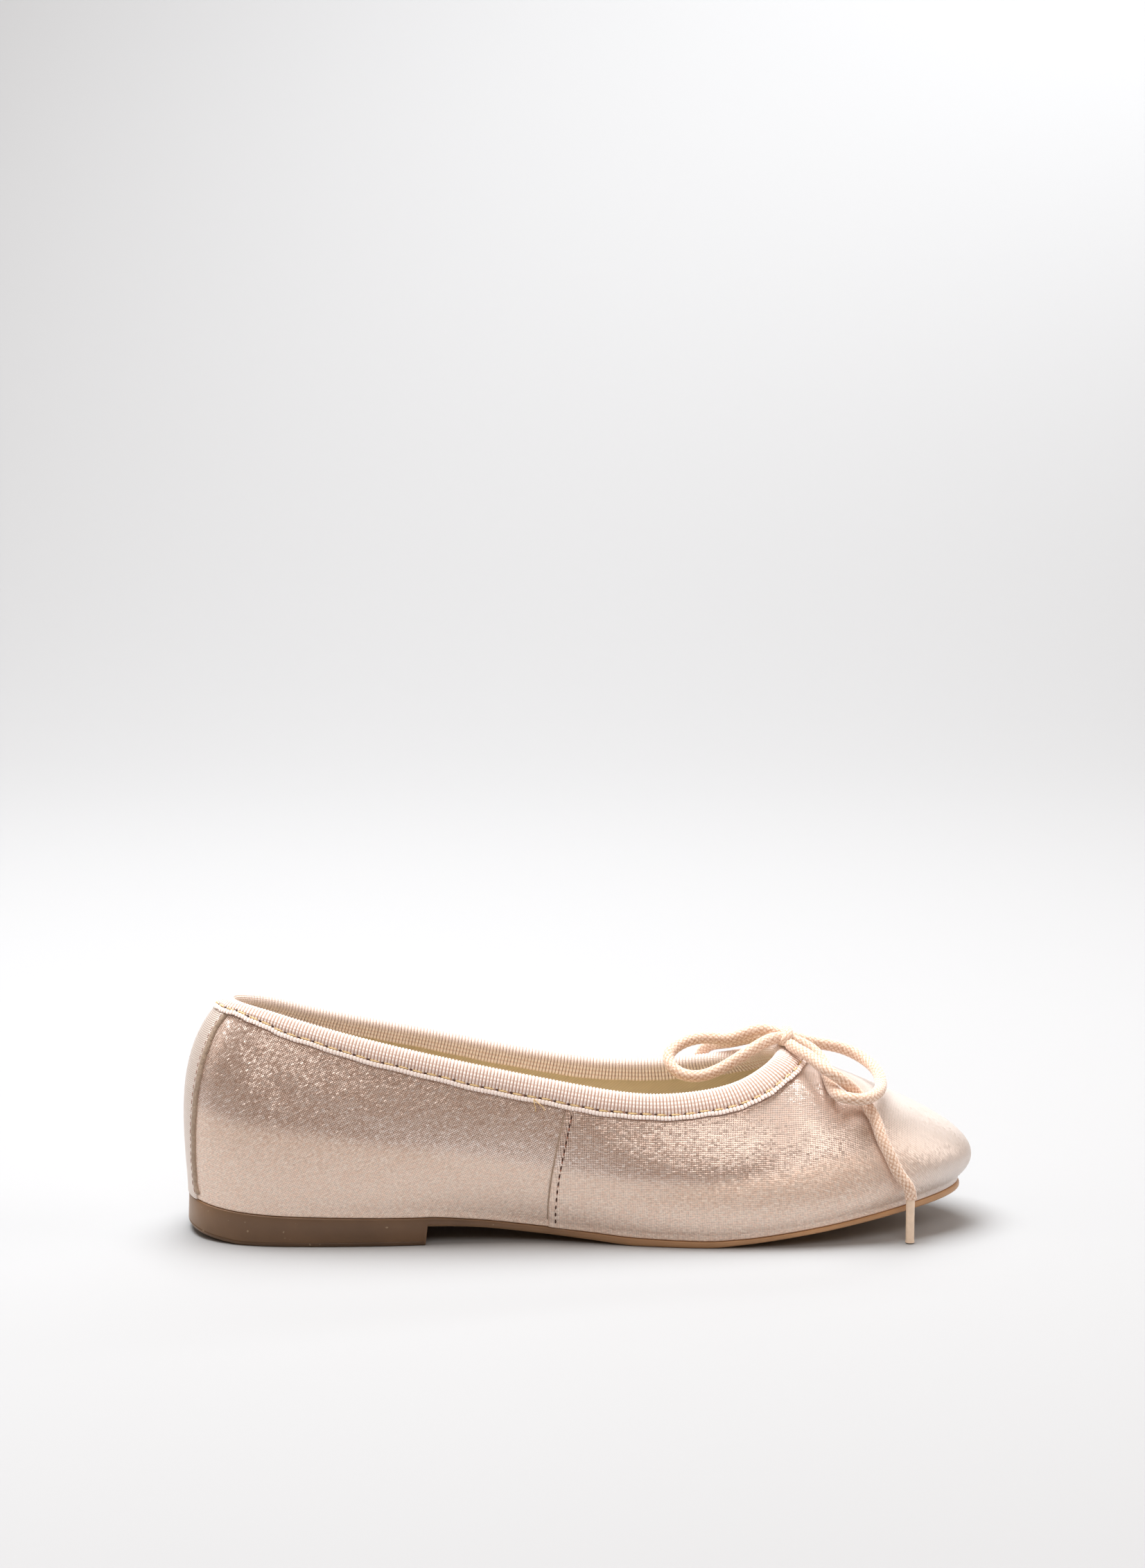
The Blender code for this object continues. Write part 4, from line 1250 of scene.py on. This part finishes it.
def even_line(points, step, closed=False):
    """Points about step apart along the spline through some points, and that spline's length."""
    spline = Spline(points, closed)
    last = spline.count - (0 if closed else 1)
    fine = spline.at(np.linspace(0, last - 1e-9, 60 * spline.count))
    along = lengths_along(fine)
    even = np.linspace(0, along[-1], round(along[-1] / step) + 1)
    return np.stack([np.interp(even, along, fine[:, k]) for k in range(3)], axis=1), along[-1]


BRAID_STRANDS = 8  # each way round
BRAID_STEP = 1.5
BRAID_DEPTH = 0.1
LINE_STEP = 0.22  # from ring to ring along a cord
DRAWN_IN = 3.5  # length over which the knot draws a cord thin
# The knot's turn: half its width, half its height, and the radius of the cord drawn tight in it.
KNOT_REACH = 3.3
KNOT_RISE = 1.5
KNOT_CORD = 1.22


def braid(along, turn):
    """Height of the braid from 0 to 1: two families of strands that pass over and under each other."""
    a = turn * BRAID_STRANDS + along / BRAID_STEP
    b = turn * BRAID_STRANDS - along / BRAID_STEP
    over = (np.floor(a) + np.floor(b)) % 2 < 1
    first = np.cos(math.pi * (a % 1 - 0.5))
    second = np.cos(math.pi * (b % 1 - 0.5))
    return np.where(over, first * (0.45 + 0.55 * second), second * (0.45 + 0.55 * first))


def tube(name, line, radius, closed=False, around=36):
    """A braided tube along a line. radius may be a number for each point of the line."""
    sides, others = frames_along(line)
    radius = np.broadcast_to(radius, len(line))[:, None]
    if closed:
        line, sides, others, radius = line[:-1], sides[:-1], others[:-1], radius[:-1]
    turn = np.arange(around) / around
    along = np.arange(len(line)) * np.linalg.norm(line[1] - line[0])
    height = braid(along[:, None], turn[None, :])
    reach = radius - BRAID_DEPTH * (1 - height)
    angle = turn * 2 * math.pi
    spoke = np.cos(angle)[None, :, None] * sides[:, None] + np.sin(angle)[None, :, None] * others[:, None]
    points = (line[:, None] + reach[:, :, None] * spoke).reshape(-1, 3)
    faces = grid_faces(len(line), around, closed, True)
    if not closed:
        last = (len(line) - 1) * around
        faces.append(tuple(reversed(range(around))))
        faces.append(tuple(last + i for i in range(around)))
    piece = flip_if_inside_out(mesh_object(name, points, faces, COTTON))
    mark(piece.data, "furrow_shade", height)
    return piece


def make_cord(name, far_end):
    route = np.array(ROUTES[name]) - (LENGTH / 2, 0, 0)
    line, length = even_line(route, LINE_STEP)
    along = np.arange(len(line)) * length / len(line)
    fullness = smooth_step(along / DRAWN_IN)
    if far_end == "knot":
        fullness *= smooth_step((length - along) / DRAWN_IN)
    piece = tube(name + "_braid", line, CORD / 2 * (0.78 + 0.22 * fullness))
    dress(piece, "cord", name)
    return piece


def make_knot():
    """One turn of the cord drawn tight round the loops and ends, slanting over them."""
    at, y, z = KNOT_AT
    centre = np.array([at - LENGTH / 2, y, z])
    slant = math.radians(30)
    up = np.array([math.sin(slant), 0, math.cos(slant)])
    angles = np.linspace(0, 2 * math.pi, 13)[:-1]
    ring = [centre + KNOT_REACH * math.cos(t) * Y + KNOT_RISE * math.sin(t) * up for t in angles]
    line, _ = even_line(ring, LINE_STEP, closed=True)
    piece = tube("bow_knot_turn", line, KNOT_CORD, closed=True)
    return dress(piece, "cord", "bow_knot")


def make_aglet(name, cord):
    """Film shrunk on the cord's end: it narrows from the cord to its own width, with a tiny flare where it
    is cut off."""
    x, y, z = np.array(ROUTES[cord][-2]) - (LENGTH / 2, 0, 0)
    top = z - AGLET_GAP
    # Height above the film's top and radius, from inside the cord's end down to the cut.
    steps = [(1.2, 1.32), (0.6, 1.30), (0.0, 1.2), (-0.8, 1.13), (-2.5, 1.1), (-6.0, 1.08)]
    steps += [(-AGLET_LENGTH + 0.7, 1.08), (-AGLET_LENGTH + 0.35, 1.16), (-AGLET_LENGTH, 1.18)]
    around = 24
    angle = np.arange(around) / around * 2 * math.pi
    rings = []
    for height, radius in steps:
        level = np.full(around, top + height)
        rings.append(np.stack([x + radius * np.cos(angle), y + radius * np.sin(angle), level], axis=1))
    faces = grid_faces(len(rings), around, False, True)
    faces.append(tuple(range(around)))
    last = (len(rings) - 1) * around
    faces.append(tuple(last + i for i in reversed(range(around))))
    piece = flip_if_inside_out(mesh_object(name + "_film", np.concatenate(rings), faces, AGLET_FILM))
    piece.data.set_sharp_from_angle(angle=math.radians(50))
    return dress(piece, "aglet", name)


# Stage --------------------------------------------------------------------------------------------------


def make_stage():
    """A pale floor that curves up far behind."""
    paper, _, shader = new_material("matt_paper")
    fill(shader, {"Base Color": colour("AAADB0"), "Roughness": 0.9})
    level, radius, half = 700, 1500, 2200
    profile = [(-330, 0), (level, 0)]
    for angle in np.radians(range(3, 91, 3)):
        profile.append((level + radius * math.sin(angle), radius * (1 - math.cos(angle))))
    rows = [np.array([(-half, y, z), (half, y, z)]) for y, z in profile]
    faces = [(2 * r, 2 * r + 1, 2 * r + 3, 2 * r + 2) for r in range(len(rows) - 1)]
    floor = mesh_object("floor", np.concatenate(rows), faces, paper)


def area_light(name, at, to, size, power, tint="FFFFFF"):
    """A lamp that faces a point. Places and sizes are in metres, power in watts."""
    light = bpy.data.lights.new(name, "AREA")
    light.shape = "RECTANGLE"
    light.size, light.size_y = size
    light.energy = power
    light.color = colour(tint)[:3]
    lamp = new_object(name, light)
    lamp.location = at
    lamp.rotation_euler = (Vector(to) - Vector(at)).to_track_quat("-Z", "Y").to_euler()


def make_lights():
    world = bpy.data.worlds.new("studio")
    bpy.context.scene.world = world
    world.use_nodes = True
    # The room round the table is dim and warm; straight on it is seen as the same pale paper.
    tree = world.node_tree
    ray = add(tree, "ShaderNodeLightPath")
    room = add(
        tree,
        "ShaderNodeMix",
        {"Factor": ray.outputs["Is Camera Ray"], 6: colour("80654E"), 7: colour("EDECEA")},
        data_type="RGBA",
    )
    fill(tree.nodes["Background"], {0: room.outputs[2]})
    area_light("overhead", (-0.14, 0.2, 1.0), (0, 0, 0), (0.9, 0.7), 22)
    area_light("front_fill", (0.03, -1.1, 1.12), (0, 0, 0), (1.1, 0.7), 6, "FFFAF6")
    area_light("left_fill", (-1.3, -0.1, 0.8), (0, 0, 0.05), (0.6, 0.8), 1.8, "FFF8F2")
    area_light("right_fill", (1.2, -0.08, 0.7), (0, 0, 0.05), (0.7, 0.8), 4.6, "FFF6F0")
    area_light("backdrop_wash", (0.6, 1.5, 1.0), (0.5, 1.75, 0.35), (2.2, 0.5), 22)


def make_camera():
    camera = bpy.data.cameras.new("camera")
    camera.lens = 80.7
    camera.sensor_width = 36.0
    camera.clip_end = 20
    stand = new_object("camera", camera)
    stand.location = (-0.05015, -0.86989, 0.25034)
    stand.rotation_euler = (math.radians(80.98), 0, math.radians(-3.232))
    bpy.context.scene.camera = stand


# The shoe -----------------------------------------------------------------------------------------------

bpy.context.scene.view_settings.view_transform = "Standard"
make_camera()
make_lights()
make_stage()

knot = make_knot()
aglet_near = make_aglet("aglet_near", "cord_end_near")
aglet_far = make_aglet("aglet_far", "cord_end_far")
make_cord("bow_loop_front", "knot")
make_cord("bow_loop_rear", "knot")
make_cord("cord_end_near", "fitting")
make_cord("cord_end_far", "fitting")

make_quarter("quarter_medial", STRIP_EDGE - UNDER_STRIP, SIDE_SEAM + OVERLAP)
make_quarter("quarter_lateral", COUNT - SIDE_SEAM - OVERLAP, COUNT - STRIP_EDGE + UNDER_STRIP)
make_vamp()
make_back_strip()
make_strip_band("strip_edge_medial", 1)
make_strip_band("strip_edge_lateral", -1)
make_lining()
make_binding()
make_ribs()
make_binding_seam()
make_lap_stitches()
make_strip_stitches()
make_outsole()
make_sock()
